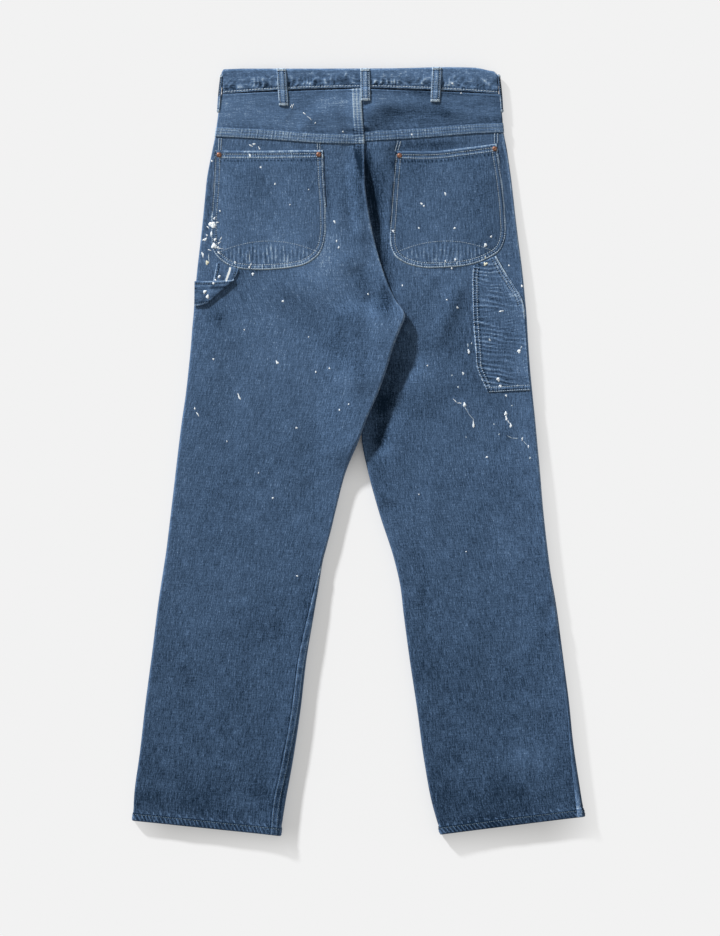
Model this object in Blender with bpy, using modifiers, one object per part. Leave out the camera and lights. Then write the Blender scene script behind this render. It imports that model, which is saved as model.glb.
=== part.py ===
"""Painter's work trousers in worn denim, laid out flat on their front, back side up.

Every cut piece is a shell of even thickness. A leg and its half of the seat is a flattened tube:
a lower layer (the front panel) and an upper layer (the back panel) that meet at the outseam and
at the inseam, with a round fold at each side. The left half of the seat laps over the right one,
so the left leg rides up on the right leg just below the crotch.

Frame: +X to the wearer's right, +Y towards the waist, +Z up, origin on the surface that the
trousers lie on, under the middle of their bounding box. Lengths are in millimetres up to MM.
"""

from collections import namedtuple
from math import exp, pi, sin, cos

import bmesh
import bpy
from mathutils import Vector
from mathutils.bvhtree import BVHTree

MM = 0.001

# Driving dimensions
WALL = 1.4                 # one layer of denim
BAND_WALL = 2.2            # waistband, cut double
STRAP_WALL = 2.0           # belt loops and hammer loop, folded strips
FLY_WALL = 1.0             # shield behind the fly
SEAM_GAP = 0.3             # between pieces that are sewn edge to edge
TURN_GAP = 1.0             # added to it where a seam turns over a folded side
TURN_REACH = 5.0
REST_GAP = 0.4             # between a piece and the panel that it lies on
CLEAR = 1.25               # between the left leg and the right leg under it
MID_GAP = 1.0              # between front and back panel, in the middle of a leg
EDGE_GAP = 2.6             # the same at the folded sides
EDGE_REACH = 18.0          # how far the folds at the sides hold the layers apart
WAIST_LIFT = 2.4           # the waistband rests on its front loops and button
LIFT_START = 415.0
LIFT_RUN = 50.0
CROTCH_Y = 256.0           # all four panels meet here
CENTRE_FRONT = 4.2         # where the left front panel ends above the crotch
CENTRE_BACK = 5.4          # where the right front panel starts above the crotch
LAP_RAMP_TOP = 18.0        # how softly the lapped half rises: at the seat seam
LAP_RAMP_LEG = 45.0        # and on the thigh
LAP_FOOT = 14.0            # the same for the left leg's lower layer
BAND_SPAN_POINTS = 13
SPAN_POINTS = 6            # stations across a layer, between its folds
FOLD_STEP = 0.6            # least spacing of the stations round a fold
LOOP_WIDTH = 13.0
RIVET_RADIUS = 3.8
RIVET_HEIGHT = 1.5
BUTTON_RADIUS = 8.5
BUTTON_HEIGHT = 2.0

# One cross-section of a half: its outer and inner edge, and where the two seams lie. A seam's
# place is its distance from the edge, positive on the upper side and negative underneath.
Section = namedtuple("Section", "y_out out y_in inn out_seam in_seam")

LEFT = [
    Section(440.4, -200.9, 431.6, 7.3, -2, -8.8),
    Section(420, -205.0, 413, 7.2, -2, -8.7),
    Section(385, -211.9, 380, 8.2, -2, -7.7),
    Section(350, -215.5, 347, 12.0, -2, -8.0),
    Section(315, -219.0, 313, 18.0, -2, -12.2),
    Section(285, -222.3, 284, 24.8, -2, -18.8),
    Section(258, -225.5, 258, 32.3, -2, -26.0),
    Section(232, -228.0, 232, 41.7, -2, -32.7),
    Section(210, -229.8, 210, 52.5, -2, -33.5),
    Section(192, -231.0, 191, 65.0, -2, -31.5),
    Section(174, -232.7, 173, 59.0, -2, -23.5),
    Section(148, -234.7, 147, 48.6, -2, -16.0),
    Section(115, -238.0, 114, 38.7, -2, -11.0),
    Section(80, -241.9, 78, 25.6, -2, -9.0),
    Section(45, -247.0, 42, 9.9, -2, -8.0),
    Section(18, -250.5, 14, -0.2, -2, -7.0),
    Section(-20, -255.0, -25, -16.8, -2, -5.0),
    Section(-75, -261.4, -80, -31.6, -2, -3.4),
    Section(-110, -265.6, -116, -40.3, -2, -1.4),
    Section(-142, -269.6, -149, -50.0, -2, 0.8),
    Section(-174, -274.6, -181, -55.7, -2, 3.6),
    Section(-210, -280.0, -218, -61.1, -2, 7.3),
    Section(-280, -288.7, -290, -72.9, -2, 11.5),
    Section(-350, -298.0, -362, -81.4, -2, 12.5),
    Section(-420, -306.0, -435, -92.4, -2, 14.8),
    Section(-480, -314.0, -498, -103.7, -2, 16.5),
    Section(-516, -315.5, -537, -109.5, -2, 14.0),
]

RIGHT = [
    Section(444.4, 202.6, 433.4, -5.0, -2, 3.0),
    Section(425, 206.6, 413, -5.0, -2, 3.0),
    Section(390, 212.1, 380, -3.0, -2, 3.0),
    Section(355, 216.3, 347, 0.0, -2, 3.2),
    Section(320, 220.2, 313, 1.8, -2, 3.4),
    Section(290, 223.9, 284, 2.8, -2, 2.6),
    Section(262, 227.6, 258, 3.6, -2, 2.0),
    Section(235, 230.6, 232, 4.0, -2, -1.0),
    Section(212, 232.7, 210, 4.0, -2, -4.0),
    Section(192, 234.6, 191, 4.0, -2, -5.0),
    Section(175, 235.6, 173, 4.0, -2, -5.0),
    Section(150, 237.1, 147, 4.0, -2, -5.0),
    Section(115, 239.6, 114, 4.0, -2, -5.0),
    Section(80, 243.0, 78, 3.8, -2, -5.0),
    Section(45, 246.6, 42, 3.6, -2, -5.0),
    Section(18, 249.1, 14, 4.4, -2, -5.0),
    Section(-20, 252.7, -25, 12.1, -2, -5.0),
    Section(-80, 257.7, -86, 28.6, -2, -5.0),
    Section(-145, 265.0, -152, 49.8, -1.4, -5.0),
    Section(-180, 269.7, -188, 58.0, -0.6, -5.0),
    Section(-215, 275.4, -224, 62.3, 0.8, -5.0),
    Section(-275, 283.5, -287, 70.6, 2.8, -5.0),
    Section(-345, 292.9, -360, 81.5, 4, -6.0),
    Section(-415, 300.8, -433, 91.5, 6, -6.0),
    Section(-472, 309.5, -493, 102.7, 9, -6.0),
    Section(-510, 315.5, -535, 115.0, 10, -6.0),
]

# The front panels go on up to the waistband, and the yoke is the back's own top part.
LEFT_FRONT_TOP = [
    Section(499.5, -192.0, 489, 7.3, -2, 0),
    Section(478, -195.8, 468, 7.3, -2, 0),
    Section(459, -198.2, 449, 7.3, -2, 0),
]
RIGHT_FRONT_TOP = [
    Section(499.5, 197.0, 489, -5.0, -2, 0),
    Section(478, 199.6, 468, -5.0, -2, 0),
    Section(459, 201.2, 449, -5.0, -2, 0),
]
YOKE_LEFT = [
    Section(499.5, -192.3, 507, 3.0, -2, -9.0),
    Section(484, -195.0, 486, 3.6, -2, -9.0),
    Section(470, -196.8, 467, 4.6, -2, -9.0),
    Section(457, -198.4, 450, 6.0, -2, -9.0),
    Section(440.8, -200.8, 432, 7.3, -2, -9.0),
]
YOKE_RIGHT = [
    Section(499.5, 197.6, 507, -9.5, -2, 3.0),
    Section(484, 199.2, 486, -9.0, -2, 3.0),
    Section(470, 200.5, 467, -8.0, -2, 3.0),
    Section(459, 201.3, 450, -6.6, -2, 3.0),
    Section(444.8, 202.5, 433.8, -5.1, -2, 3.0),
]

# The largest folds of the back, each a soft ridge along a straight line.
Fold = namedtuple("Fold", "x0 y0 x1 y1 height width")
FOLDS_LEFT = [
    Fold(-110, 250, 34, 168, 2.2, 22),     # drag line across the left thigh
    Fold(-60, 140, 20, 95, 1.5, 26),
    Fold(-210, -60, -110, -70, 0.8, 20),
]
FOLDS_RIGHT = [
    Fold(152, 250, 118, 150, 1.8, 14),     # beside the tool pocket
    Fold(140, -120, 230, -128, 0.8, 20),
    Fold(268, -215, 255, -250, 1.6, 10),   # short crease at the right outseam
]

# Waistband: its edges on the back, and how far its front part sits lower.
BAND_LEFT = -191.5
BAND_RIGHT = 195.5
BAND_TOP_Y = 535.2
BAND_TOP_CREST = 2.0       # its upper edge is a little higher to the right of the middle
BAND_CREST_X = 124.0
BAND_SIDE_Y = 499.9
BAND_ARCH = 8.5            # its lower edge is higher at the centre back than at the sides
FRONT_HEIGHT = 32.0
FRONT_DIP = 10.5           # the front of the waist dips towards the fly
BAND_OVERLAP = 20.0        # its two ends lap over each other at the fly
BAND_GAP = 1.4             # between its front and back part

# Belt loops that lie flat on the back: left edge at the top, lean to the right, and ends.
FlatLoop = namedtuple("FlatLoop", "name x_top x_low y_top y_low")
BACK_LOOPS = [
    FlatLoop("belt_loop_back_left", -114.9, -111.5, 535.0, 483.0),
    FlatLoop("belt_loop_back_centre", 2.2, 3.1, 534.9, 491.5),
    FlatLoop("belt_loop_back_right", 102.7, 100.3, 536.3, 488.2),
]
FRONT_LOOP_X = {"belt_loop_front_left": -98.0, "belt_loop_front_right": 104.0}
SIDE_LOOP_Y = (527.0, 474.0)
SIDE_LOOP_TURNS = (-0.33 * pi, 0.42 * pi)   # how far a side loop reaches round the fold
SIDE_LOOP_FLARE = 4.8      # its lower end clears the wider hip
LOOP_ARCH = 1.2

# Patches sewn on the back, as rows from top to bottom.
PatchRow = namedtuple("PatchRow", "y_left left y_right right")
POCKET_LEFT = [
    PatchRow(420.5, -200.8, 421.5, -50.6),
    PatchRow(408, -200.8, 410, -50.2),
    PatchRow(370, -203.0, 372, -48.6),
    PatchRow(330, -205.6, 332, -46.2),
    PatchRow(300, -206.2, 302, -46.8),
    PatchRow(282, -204.5, 284, -52.0),
    PatchRow(270, -196.5, 273, -60.0),
    PatchRow(261, -182.0, 264, -72.0),
    PatchRow(255.5, -160.0, 257.5, -95.0),
]
POCKET_RIGHT = [
    PatchRow(420.0, 52.2, 430.0, 192.0),
    PatchRow(408, 50.4, 416, 196.0),
    PatchRow(370, 47.8, 374, 201.0),
    PatchRow(330, 45.0, 334, 204.4),
    PatchRow(300, 43.6, 308, 204.8),
    PatchRow(284, 45.0, 294, 203.0),
    PatchRow(272, 52.0, 283, 196.0),
    PatchRow(263, 66.0, 272, 182.0),
    PatchRow(258, 90.0, 264.5, 160.0),
]
TOOL_POCKET = [
    PatchRow(259.6, 160.2, 273.0, 191.6),
    PatchRow(246, 158.6, 252.6, 203.4),
    PatchRow(228, 158.6, 235, 214.8),
    PatchRow(208, 158.8, 218, 225.6),
    PatchRow(188, 159.4, 203, 230.6),
    PatchRow(165, 161.0, 180, 232.4),
    PatchRow(140, 163.0, 150, 234.4),
    PatchRow(114.7, 165.4, 118, 236.6),
    PatchRow(98, 172.5, 102, 238.0),
    PatchRow(81.8, 179.7, 85.4, 239.6),
]
PATCH_COLUMNS = 8
POCKET_MOUTH = 0.8         # how far a worn pocket's mouth stands open

RIVETS = {
    "rivet_left_outer": (-195.2, 414.5),
    "rivet_left_inner": (-56.0, 415.0),
    "rivet_right_inner": (57.0, 413.5),
    "rivet_right_outer": (190.0, 423.0),
}

# Hammer loop: down from the pocket's foot, folded over on a slant, and out to the outseam.
StrapRow = namedtuple("StrapRow", "x_a y_a x_b y_b off")
HAMMER_LOOP = [
    StrapRow(-200.0, 252.0, -169.5, 249.0, 0.0),
    StrapRow(-203.0, 240.0, -172.0, 244.0, 0.9),
    StrapRow(-208.0, 218.0, -175.5, 241.5, 1.6),
    StrapRow(-210.8, 209.6, -174.6, 240.0, 1.9),
    StrapRow(-211.6, 207.6, -174.2, 239.0, 3.6),
    StrapRow(-213.0, 206.8, -177.6, 238.2, 5.3),
    StrapRow(-218.0, 205.0, -192.0, 237.4, 5.0),
    StrapRow(-224.0, 204.2, -208.0, 237.0, 4.2),
    StrapRow(-229.4, 203.8, -228.4, 236.0, 3.4),
]

FLY_SHIELD_Y = (485, 470, 455, 440, 425, 410, 380, 350)
FLY_SHIELD_X = (-16.0, 24.0)
FLY_RELIEF = 1.6           # the back panels rise this much over the shield

DENIM = (0.075, 0.125, 0.205)
DENIM_LIGHT = (0.10, 0.155, 0.24)
DENIM_DARK = (0.05, 0.085, 0.15)
COPPER = (0.42, 0.20, 0.11)
BRASS = (0.55, 0.40, 0.20)


def smooth(t):
    """Ease from 0 to 1."""
    t = min(1.0, max(0.0, t))
    return t * t * (3.0 - 2.0 * t)


def mix(a, b, t):
    """Straight blend from a to b."""
    return a + (b - a) * t


def section_at(table, y):
    """The section of a table at a height on the inner edge, blended between its rows."""
    if y >= table[0].y_in:
        return table[0]
    for upper, lower in zip(table, table[1:]):
        if y >= lower.y_in:
            t = (upper.y_in - y) / (upper.y_in - lower.y_in)
            return Section(*(mix(a, b, t) for a, b in zip(upper, lower)))
    return table[-1]


def section_y(row, x):
    """Height up the garment of a point on a section, which may lean."""
    return mix(row.y_out, row.y_in, (x - row.out) / (row.inn - row.out))


def lift(y):
    """Height of the lower layer's underside above the surface."""
    return WAIST_LIFT * smooth((y - LIFT_START) / LIFT_RUN)


def folds(table, x, y):
    """Height that one half's folds add to its upper layer."""
    total = 0.0
    for f in table:
        dx, dy = f.x1 - f.x0, f.y1 - f.y0
        along = ((x - f.x0) * dx + (y - f.y0) * dy) / (dx * dx + dy * dy)
        t = min(1.0, max(0.0, along))
        gap2 = (x - f.x0 - t * dx) ** 2 + (y - f.y0 - t * dy) ** 2
        total += f.height * exp(-gap2 / f.width ** 2)
    return total


def lapped_ends(x):
    """Height of the waistband's second end, which lies on the first one at the fly."""
    return (BAND_WALL + REST_GAP + 0.4) * smooth((52 - abs(x)) / 26)


def closure(x, y):
    """Height that the fly shield and the waistband's front add to the back's layers."""
    fly = FLY_RELIEF * smooth((34 - abs(x - 4)) / 14) * smooth((y - 325) / 25)
    band = smooth((y - 462) / 24) * (BAND_WALL - WALL + lapped_ends(x))
    return max(fly, band)


def hollow(row, x, y):
    """Gap between the two layers, wider beside the folds."""
    inner_fold = smooth((262 - y) / 45)
    near = exp(-abs(x - row.out) / EDGE_REACH) + inner_fold * exp(-abs(x - row.inn) / EDGE_REACH)
    return MID_GAP + (EDGE_GAP - MID_GAP) * near


def right_low(row, x):
    """Middle of the right half's lower layer."""
    return lift(section_y(row, x)) + WALL / 2


def right_high(row, x):
    """Middle of the right half's upper layer."""
    y = section_y(row, x)
    rise = hollow(row, x, y) + closure(x, y) + folds(FOLDS_RIGHT, x, y)
    return right_low(row, x) + WALL + rise


def lap_place(y):
    """Where the right half starts, under the left one."""
    row = section_at(YOKE_RIGHT + RIGHT, y)
    return row.inn + max(row.in_seam, 0.0)


def lap_level(x, y):
    """Underside of whatever lies on the right half's upper layer."""
    row = section_at(YOKE_RIGHT + RIGHT, y)
    return right_high(row, max(x, lap_place(y))) + WALL / 2 + CLEAR


def lap_share(x, y, ramp):
    """How much of the rise onto the right half is done at this place."""
    return smooth((x - lap_place(y) + ramp) / ramp) * smooth((y + 36) / 50)


def left_low(row, x):
    """Middle of the left half's lower layer: the front panel, or the back panel's turned edge."""
    y = section_y(row, x)
    return WALL / 2 + mix(lift(y), lap_level(x, y), lap_share(x, y, LAP_FOOT))


def left_front(row, x):
    """The left front panel, which lies flat above the crotch."""
    y = section_y(row, x)
    return mix(left_low(row, x), lift(y) + WALL / 2, smooth((y - CROTCH_Y) / 46))


def left_high(row, x):
    """Middle of the left half's upper layer."""
    y = section_y(row, x)
    ramp = mix(LAP_RAMP_LEG, LAP_RAMP_TOP, smooth((y - 250) / 120))
    flat = lift(y) + closure(x, y)
    rise = mix(flat, lap_level(x, y), lap_share(x, y, ramp))
    return rise + WALL * 1.5 + hollow(row, x, y) + folds(FOLDS_LEFT, x, y)


class Side:
    """One folded side of a section: a half circle between the two layers."""

    def __init__(self, edge, way, low, high):
        """Fit the fold at x = edge, opening towards way (+1 or -1)."""
        first = (high(edge) - low(edge)) / 2
        self.edge = edge
        self.way = way
        self.low = low
        self.high = high
        self.radius = (high(edge + way * first) - low(edge + way * first)) / 2
        self.tangent = edge + way * self.radius
        self.middle = (high(self.tangent) + low(self.tangent)) / 2
        self.quarter = self.radius * pi / 2

    def point(self, s):
        """The point at arc length s from the outermost line, positive on the upper side."""
        if abs(s) > self.quarter:
            x = self.tangent + self.way * (abs(s) - self.quarter)
            return (x, self.high(x) if s > 0 else self.low(x))
        turn = s / self.radius
        x = self.edge + self.way * self.radius * (1 - cos(turn))
        return (x, self.middle + self.radius * sin(turn))

    def place(self, distance):
        """Arc length of a seam at this distance from the edge, seen from above."""
        if abs(distance) <= self.radius:
            return distance / self.radius * self.quarter
        reach = self.quarter + abs(distance) - self.radius
        return reach if distance > 0 else -reach

    def stations(self, seam, onward):
        """Points from a seam into the upper layer (onward +1) or the lower one (-1)."""
        values = [seam]
        marks = [onward * m for m in (-self.quarter, 0, self.quarter, self.quarter + 5)]
        for i, mark in enumerate(marks, 1):
            least = seam + onward * i * FOLD_STEP
            values.append(max(mark, least) if onward > 0 else min(mark, least))
        return [self.point(v) for v in values]


def span_stations(x0, x1, marks, count):
    """Places across a layer: evenly spaced up to the marks, which each get one of their own."""
    held = [min(mark, x1 - 2.0 * (len(marks) - i)) for i, mark in enumerate(marks)]
    end = held[0] if held else x1
    even = count - len(held)
    return [mix(x0, end, (i + 1) / (even + 1)) for i in range(even)] + held


def layer_path(row, low, high, start, stop, onward, marks=(), count=SPAN_POINTS):
    """The line of one layer across a section, from one seam to the other.

    start and stop are the two seams' distances from the left and the right edge, and onward is
    +1 for the upper layer and -1 for the lower one.
    """
    left_edge, right_edge = sorted((row.out, row.inn))
    left = Side(left_edge, 1, low, high)
    right = Side(right_edge, -1, low, high)
    first = left.stations(left.place(start), onward)
    last = right.stations(right.place(stop), onward)[::-1]
    level = high if onward > 0 else low
    span = span_stations(first[-1][0], last[0][0], marks, count)
    return first + [(x, level(x)) for x in span] + last


def lap_marks(row, ramp):
    """Stations where the left half climbs onto the right one."""
    place = lap_place(row.y_in)
    return [place - ramp, place - ramp / 2, place]


def seams(row, is_left, onward):
    """Distances of the two seams of a row from its left and right edge."""
    places = [row.out_seam, row.in_seam]
    if onward < 0:
        places = [p - SEAM_GAP - TURN_GAP * smooth(2 - 2 * abs(p) / TURN_REACH) for p in places]
    return places if is_left else places[::-1]


def upper_rows(table, low, high, is_left):
    """Lines across a back panel or a half of the yoke, as points in millimetres."""
    rows = []
    for row in table:
        start, stop = seams(row, is_left, 1)
        ramp = mix(LAP_RAMP_LEG, LAP_RAMP_TOP, smooth((row.y_in - 250) / 120))
        marks = lap_marks(row, ramp) if is_left else ()
        path = layer_path(
            row, lambda x: low(row, x), lambda x: high(row, x), start, stop, 1, marks)
        rows.append([(x, section_y(row, x), z) for x, z in path])
    return rows


def lower_rows(table, low, high, is_left, centre):
    """Lines across a front panel, which ends at the centre front above the crotch."""
    rows = []
    for row in table:
        if row.y_in > CROTCH_Y:
            row = row._replace(in_seam=-abs(row.inn - centre))
        start, stop = seams(row, is_left, -1)
        marks = lap_marks(row, LAP_FOOT) if is_left else ()
        path = layer_path(
            row, lambda x: low(row, x), lambda x: high(row, x), start, stop, -1, marks, 5)
        rows.append([(x, section_y(row, x), z) for x, z in path])
    return rows


def material(name, colour, roughness, metallic=0.0):
    """A plain finish for one sub-part."""
    made = bpy.data.materials.new(name)
    made.use_nodes = True
    shader = made.node_tree.nodes["Principled BSDF"]
    shader.inputs["Base Color"].default_value = (*colour, 1.0)
    shader.inputs["Roughness"].default_value = roughness
    shader.inputs["Metallic"].default_value = metallic
    return made


def add_object(name, mesh, finish, parts):
    """Put a mesh in the collection as a named sub-part with its own finish."""
    made = bpy.data.objects.new(name, mesh)
    made.data.materials.append(finish)
    parts.objects.link(made)
    return made


def sheet(name, rows, wall, finish, parts):
    """A shell of one thickness on a grid of points, given row by row in millimetres."""
    bm = bmesh.new()
    grid = [[bm.verts.new(Vector(p) * MM) for p in row] for row in rows]
    for upper, lower in zip(grid, grid[1:]):
        for i in range(len(upper) - 1):
            bm.faces.new((upper[i], lower[i], lower[i + 1], upper[i + 1]))
    mesh = bpy.data.meshes.new(name)
    bm.to_mesh(mesh)
    bm.free()
    made = add_object(name, mesh, finish, parts)
    shell = made.modifiers.new("wall", "SOLIDIFY")
    shell.thickness = wall * MM
    shell.offset = 0.0
    shell.use_even_offset = True
    mesh.shade_smooth()
    return made


def surface_below(objects):
    """A function that gives the top of these objects at a place, in millimetres."""
    bpy.context.view_layer.update()
    graph = bpy.context.evaluated_depsgraph_get()
    trees = [BVHTree.FromObject(o, graph) for o in objects]

    def top(x, y):
        start = Vector((x, y, 200)) * MM
        hits = [tree.ray_cast(start, Vector((0, 0, -1)))[0] for tree in trees]
        heights = [hit.z / MM for hit in hits if hit is not None]
        return max(heights) if heights else 0.0

    return top


def patch_rows(table, top, wall, mouth=0.0, columns=PATCH_COLUMNS):
    """A patch's points, moved out from the panel that it lies on."""
    rows = []
    for number, row in enumerate(table):
        line = []
        for i in range(columns):
            t = i / (columns - 1)
            x, y = mix(row.left, row.right, t), mix(row.y_left, row.y_right, t)
            around = [(x, y), (x - 3, y), (x + 3, y), (x, y - 3), (x, y + 3)]
            bulge = mouth * sin(pi * t) * smooth(1 - number / 2)
            line.append((x, y, max(top(*p) for p in around) + REST_GAP + wall / 2 + bulge))
        rows.append(line)
    return rows


def build_panels(parts):
    """The two fronts, the two backs and the two halves of the yoke."""
    return {
        "front_left": sheet(
            "front_left",
            lower_rows(LEFT_FRONT_TOP + LEFT, left_front, left_high, True, CENTRE_FRONT),
            WALL, material("denim front left", DENIM, 0.85), parts),
        "front_right": sheet(
            "front_right",
            lower_rows(RIGHT_FRONT_TOP + RIGHT, right_low, right_high, False, CENTRE_BACK),
            WALL, material("denim front right", DENIM, 0.85), parts),
        "back_right": sheet(
            "back_right", upper_rows(RIGHT, right_low, right_high, False),
            WALL, material("denim back right", DENIM, 0.85), parts),
        "back_left": sheet(
            "back_left", upper_rows(LEFT, left_low, left_high, True),
            WALL, material("denim back left", DENIM, 0.85), parts),
        "yoke_right": sheet(
            "yoke_right", upper_rows(YOKE_RIGHT, right_low, right_high, False),
            WALL, material("denim yoke right", DENIM_LIGHT, 0.85), parts),
        "yoke_left": sheet(
            "yoke_left", upper_rows(YOKE_LEFT, left_low, left_high, True),
            WALL, material("denim yoke left", DENIM_LIGHT, 0.85), parts),
    }


def band_low(x):
    """Middle of the waistband's front part; one end rides over the other at the fly."""
    return WAIST_LIFT + BAND_WALL / 2


def band_high(x):
    """Middle of the waistband's back part, raised over the lapped ends."""
    side = exp(-(x - BAND_LEFT) / EDGE_REACH) + exp(-(BAND_RIGHT - x) / EDGE_REACH)
    return band_low(x) + BAND_WALL + BAND_GAP + lapped_ends(x) + 0.8 * side


def band_edges(x, front):
    """Lower and upper edge of the waistband, on the back (front 0) or the front (front 1)."""
    centre = (BAND_LEFT + BAND_RIGHT) / 2
    across = abs(x - centre) / (BAND_RIGHT - BAND_LEFT) * 2
    corner = 5.0 * smooth((across - 0.88) / 0.12)
    back_foot = BAND_SIDE_Y + BAND_ARCH * (1 - across ** 2)
    back_top = BAND_TOP_Y + BAND_TOP_CREST * exp(-((x - BAND_CREST_X) / 60) ** 2) - corner
    front_foot = BAND_SIDE_Y - FRONT_DIP * (1 - across)
    front_top = front_foot + FRONT_HEIGHT - corner
    return mix(back_foot, front_foot, front), mix(back_top, front_top, front)


def build_waistband(parts):
    """One long strip: from the lapped front end round both sides of the waist."""
    left = Side(BAND_LEFT, 1, band_low, band_high)
    right = Side(BAND_RIGHT, -1, band_low, band_high)
    path = []
    front_left = [mix(BAND_OVERLAP, left.tangent + 2, i / 5) for i in range(6)]
    path += [(x, band_low(x), 1.0) for x in front_left]
    path += [(*left.point(left.quarter * t), 0.5 - t / 2) for t in (-1, -0.5, 0, 0.5, 1)]
    steps = BAND_SPAN_POINTS + 1
    back = [mix(left.tangent, right.tangent, (i + 1) / steps) for i in range(BAND_SPAN_POINTS)]
    path += [(x, band_high(x), 0.0) for x in back]
    path += [(*right.point(right.quarter * t), 0.5 - t / 2) for t in (1, 0.5, 0, -0.5, -1)]
    climb = BAND_WALL + REST_GAP
    for x in (130.0, 80.0, 50.0, 40.0, 30.0, 22.5, 0.0, -BAND_OVERLAP):
        path.append((x, band_low(x) + climb * smooth((50 - x) / 27), 1.0))
    rows = []
    for share in (1.0, 0.5, 0.0):
        row = []
        for x, z, front in path:
            row.append((x, mix(*band_edges(x, front), share), z))
        rows.append(row)
    return sheet("waistband", rows, BAND_WALL, material("denim waistband", DENIM_LIGHT, 0.85), parts)


def build_fly_shield(parts, fronts):
    """The strip behind the fly's closure, inside the waist."""
    top = surface_below(fronts)
    table = [PatchRow(y, FLY_SHIELD_X[0], y, FLY_SHIELD_X[1]) for y in FLY_SHIELD_Y]
    rows = patch_rows(table, top, FLY_WALL, columns=5)
    return sheet("fly_shield", rows, FLY_WALL, material("denim fly", DENIM_DARK, 0.9), parts)


def build_tool_pocket(parts, back):
    """The long pocket on the right thigh."""
    rows = patch_rows(TOOL_POCKET, surface_below([back]), WALL)
    finish = material("denim tool pocket", DENIM, 0.85)
    return sheet("tool_pocket", rows, WALL, finish, parts)


def build_back_pockets(parts, backs):
    """The two seat pockets."""
    made = []
    for name, table in (("pocket_left", POCKET_LEFT), ("pocket_right", POCKET_RIGHT)):
        rows = patch_rows(table, surface_below(backs), WALL, POCKET_MOUTH)
        made.append(sheet(name, rows, WALL, material("denim " + name, DENIM_LIGHT, 0.85), parts))
    return made


def build_rivets(parts, pockets):
    """A domed copper rivet at each corner of the pocket mouths."""
    top = surface_below(pockets)
    for name, (x, y) in RIVETS.items():
        around = [(x + dx, y + dy) for dx in (-2.5, 0, 2.5) for dy in (-2.5, 0, 2.5)]
        seat = max(top(*p) for p in around) + SEAM_GAP
        bm = bmesh.new()
        bmesh.ops.create_cone(
            bm, cap_ends=True, segments=16, depth=RIVET_HEIGHT * MM,
            radius1=RIVET_RADIUS * MM, radius2=0.7 * RIVET_RADIUS * MM)
        mesh = bpy.data.meshes.new(name)
        bm.to_mesh(mesh)
        bm.free()
        made = add_object(name, mesh, material("copper " + name, COPPER, 0.4, 1.0), parts)
        made.location = Vector((x, y, seat + RIVET_HEIGHT / 2)) * MM


def build_back_loops(parts, below):
    """The three belt loops that lie on the back."""
    top = surface_below(below)
    for loop in BACK_LOOPS:
        rows = []
        for v in (0.0, 0.15, 0.35, 0.55, 0.7, 0.85, 1.0):
            y = mix(loop.y_top, loop.y_low, v)
            left = mix(loop.x_top, loop.x_low, v)
            bed = max(top(left + dx, y + dy) for dx in (0, 6.5, 13) for dy in (-4, 0, 4))
            z = bed + REST_GAP + STRAP_WALL / 2 + LOOP_ARCH * sin(pi * v)
            rows.append([(left + LOOP_WIDTH * u, y, z + 0.3 * sin(pi * u)) for u in (0, 0.5, 1)])
        sheet(loop.name, rows, STRAP_WALL, material("denim " + loop.name, DENIM, 0.85), parts)


def build_front_loops(parts):
    """The two belt loops under the front of the waistband, which lie on the surface."""
    for name, x in FRONT_LOOP_X.items():
        z = STRAP_WALL / 2
        rows = [[(x + LOOP_WIDTH * u, y, z) for u in (0, 0.5, 1)] for y in (526, 500, 474)]
        sheet(name, rows, STRAP_WALL, material("denim " + name, DENIM, 0.85), parts)


def build_side_loops(parts):
    """The two belt loops that bend round the sides of the waist."""
    for name, edge, way in (("belt_loop_side_left", BAND_LEFT, 1),
                            ("belt_loop_side_right", BAND_RIGHT, -1)):
        fold = Side(edge, way, band_low, band_high)
        radius = fold.radius + BAND_WALL / 2 + REST_GAP + STRAP_WALL / 2
        rows = []
        for v in (0.0, 0.25, 0.5, 0.75, 1.0):
            stand = radius + 0.5 * LOOP_ARCH * sin(pi * v)
            line = []
            for t in (0, 0.25, 0.5, 0.75, 1):
                turn = mix(*SIDE_LOOP_TURNS, t)
                x = fold.tangent - way * (stand * cos(turn) + SIDE_LOOP_FLARE * v)
                line.append((x, mix(*SIDE_LOOP_Y, v), fold.middle + stand * sin(turn)))
            rows.append(line)
        sheet(name, rows, STRAP_WALL, material("denim " + name, DENIM, 0.85), parts)


def build_hammer_loop(parts, below):
    """The slanting strap on the left thigh, folded over on itself."""
    top = surface_below(below)
    rows = []
    for row in HAMMER_LOOP:
        line = []
        for u in (0.0, 0.33, 0.67, 1.0):
            x, y = mix(row.x_a, row.x_b, u), mix(row.y_a, row.y_b, u)
            bed = max(top(max(x + dx, -226.0), y + dy) for dx in (-4, 0, 4) for dy in (-4, 0, 4))
            line.append((x, y, bed + REST_GAP + STRAP_WALL / 2 + row.off))
        rows.append(line)
    finish = material("denim hammer loop", DENIM, 0.85)
    return sheet("hammer_loop", rows, STRAP_WALL, finish, parts)


def build_button(parts):
    """The waist button, under the waistband's outer end."""
    bm = bmesh.new()
    bmesh.ops.create_cone(
        bm, cap_ends=True, segments=24, depth=BUTTON_HEIGHT * MM,
        radius1=0.92 * BUTTON_RADIUS * MM, radius2=BUTTON_RADIUS * MM)
    mesh = bpy.data.meshes.new("waist_button")
    bm.to_mesh(mesh)
    bm.free()
    made = add_object("waist_button", mesh, material("brass button", BRASS, 0.35, 1.0), parts)
    made.location = Vector((6.0, 509.0, BUTTON_HEIGHT / 2)) * MM


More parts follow.
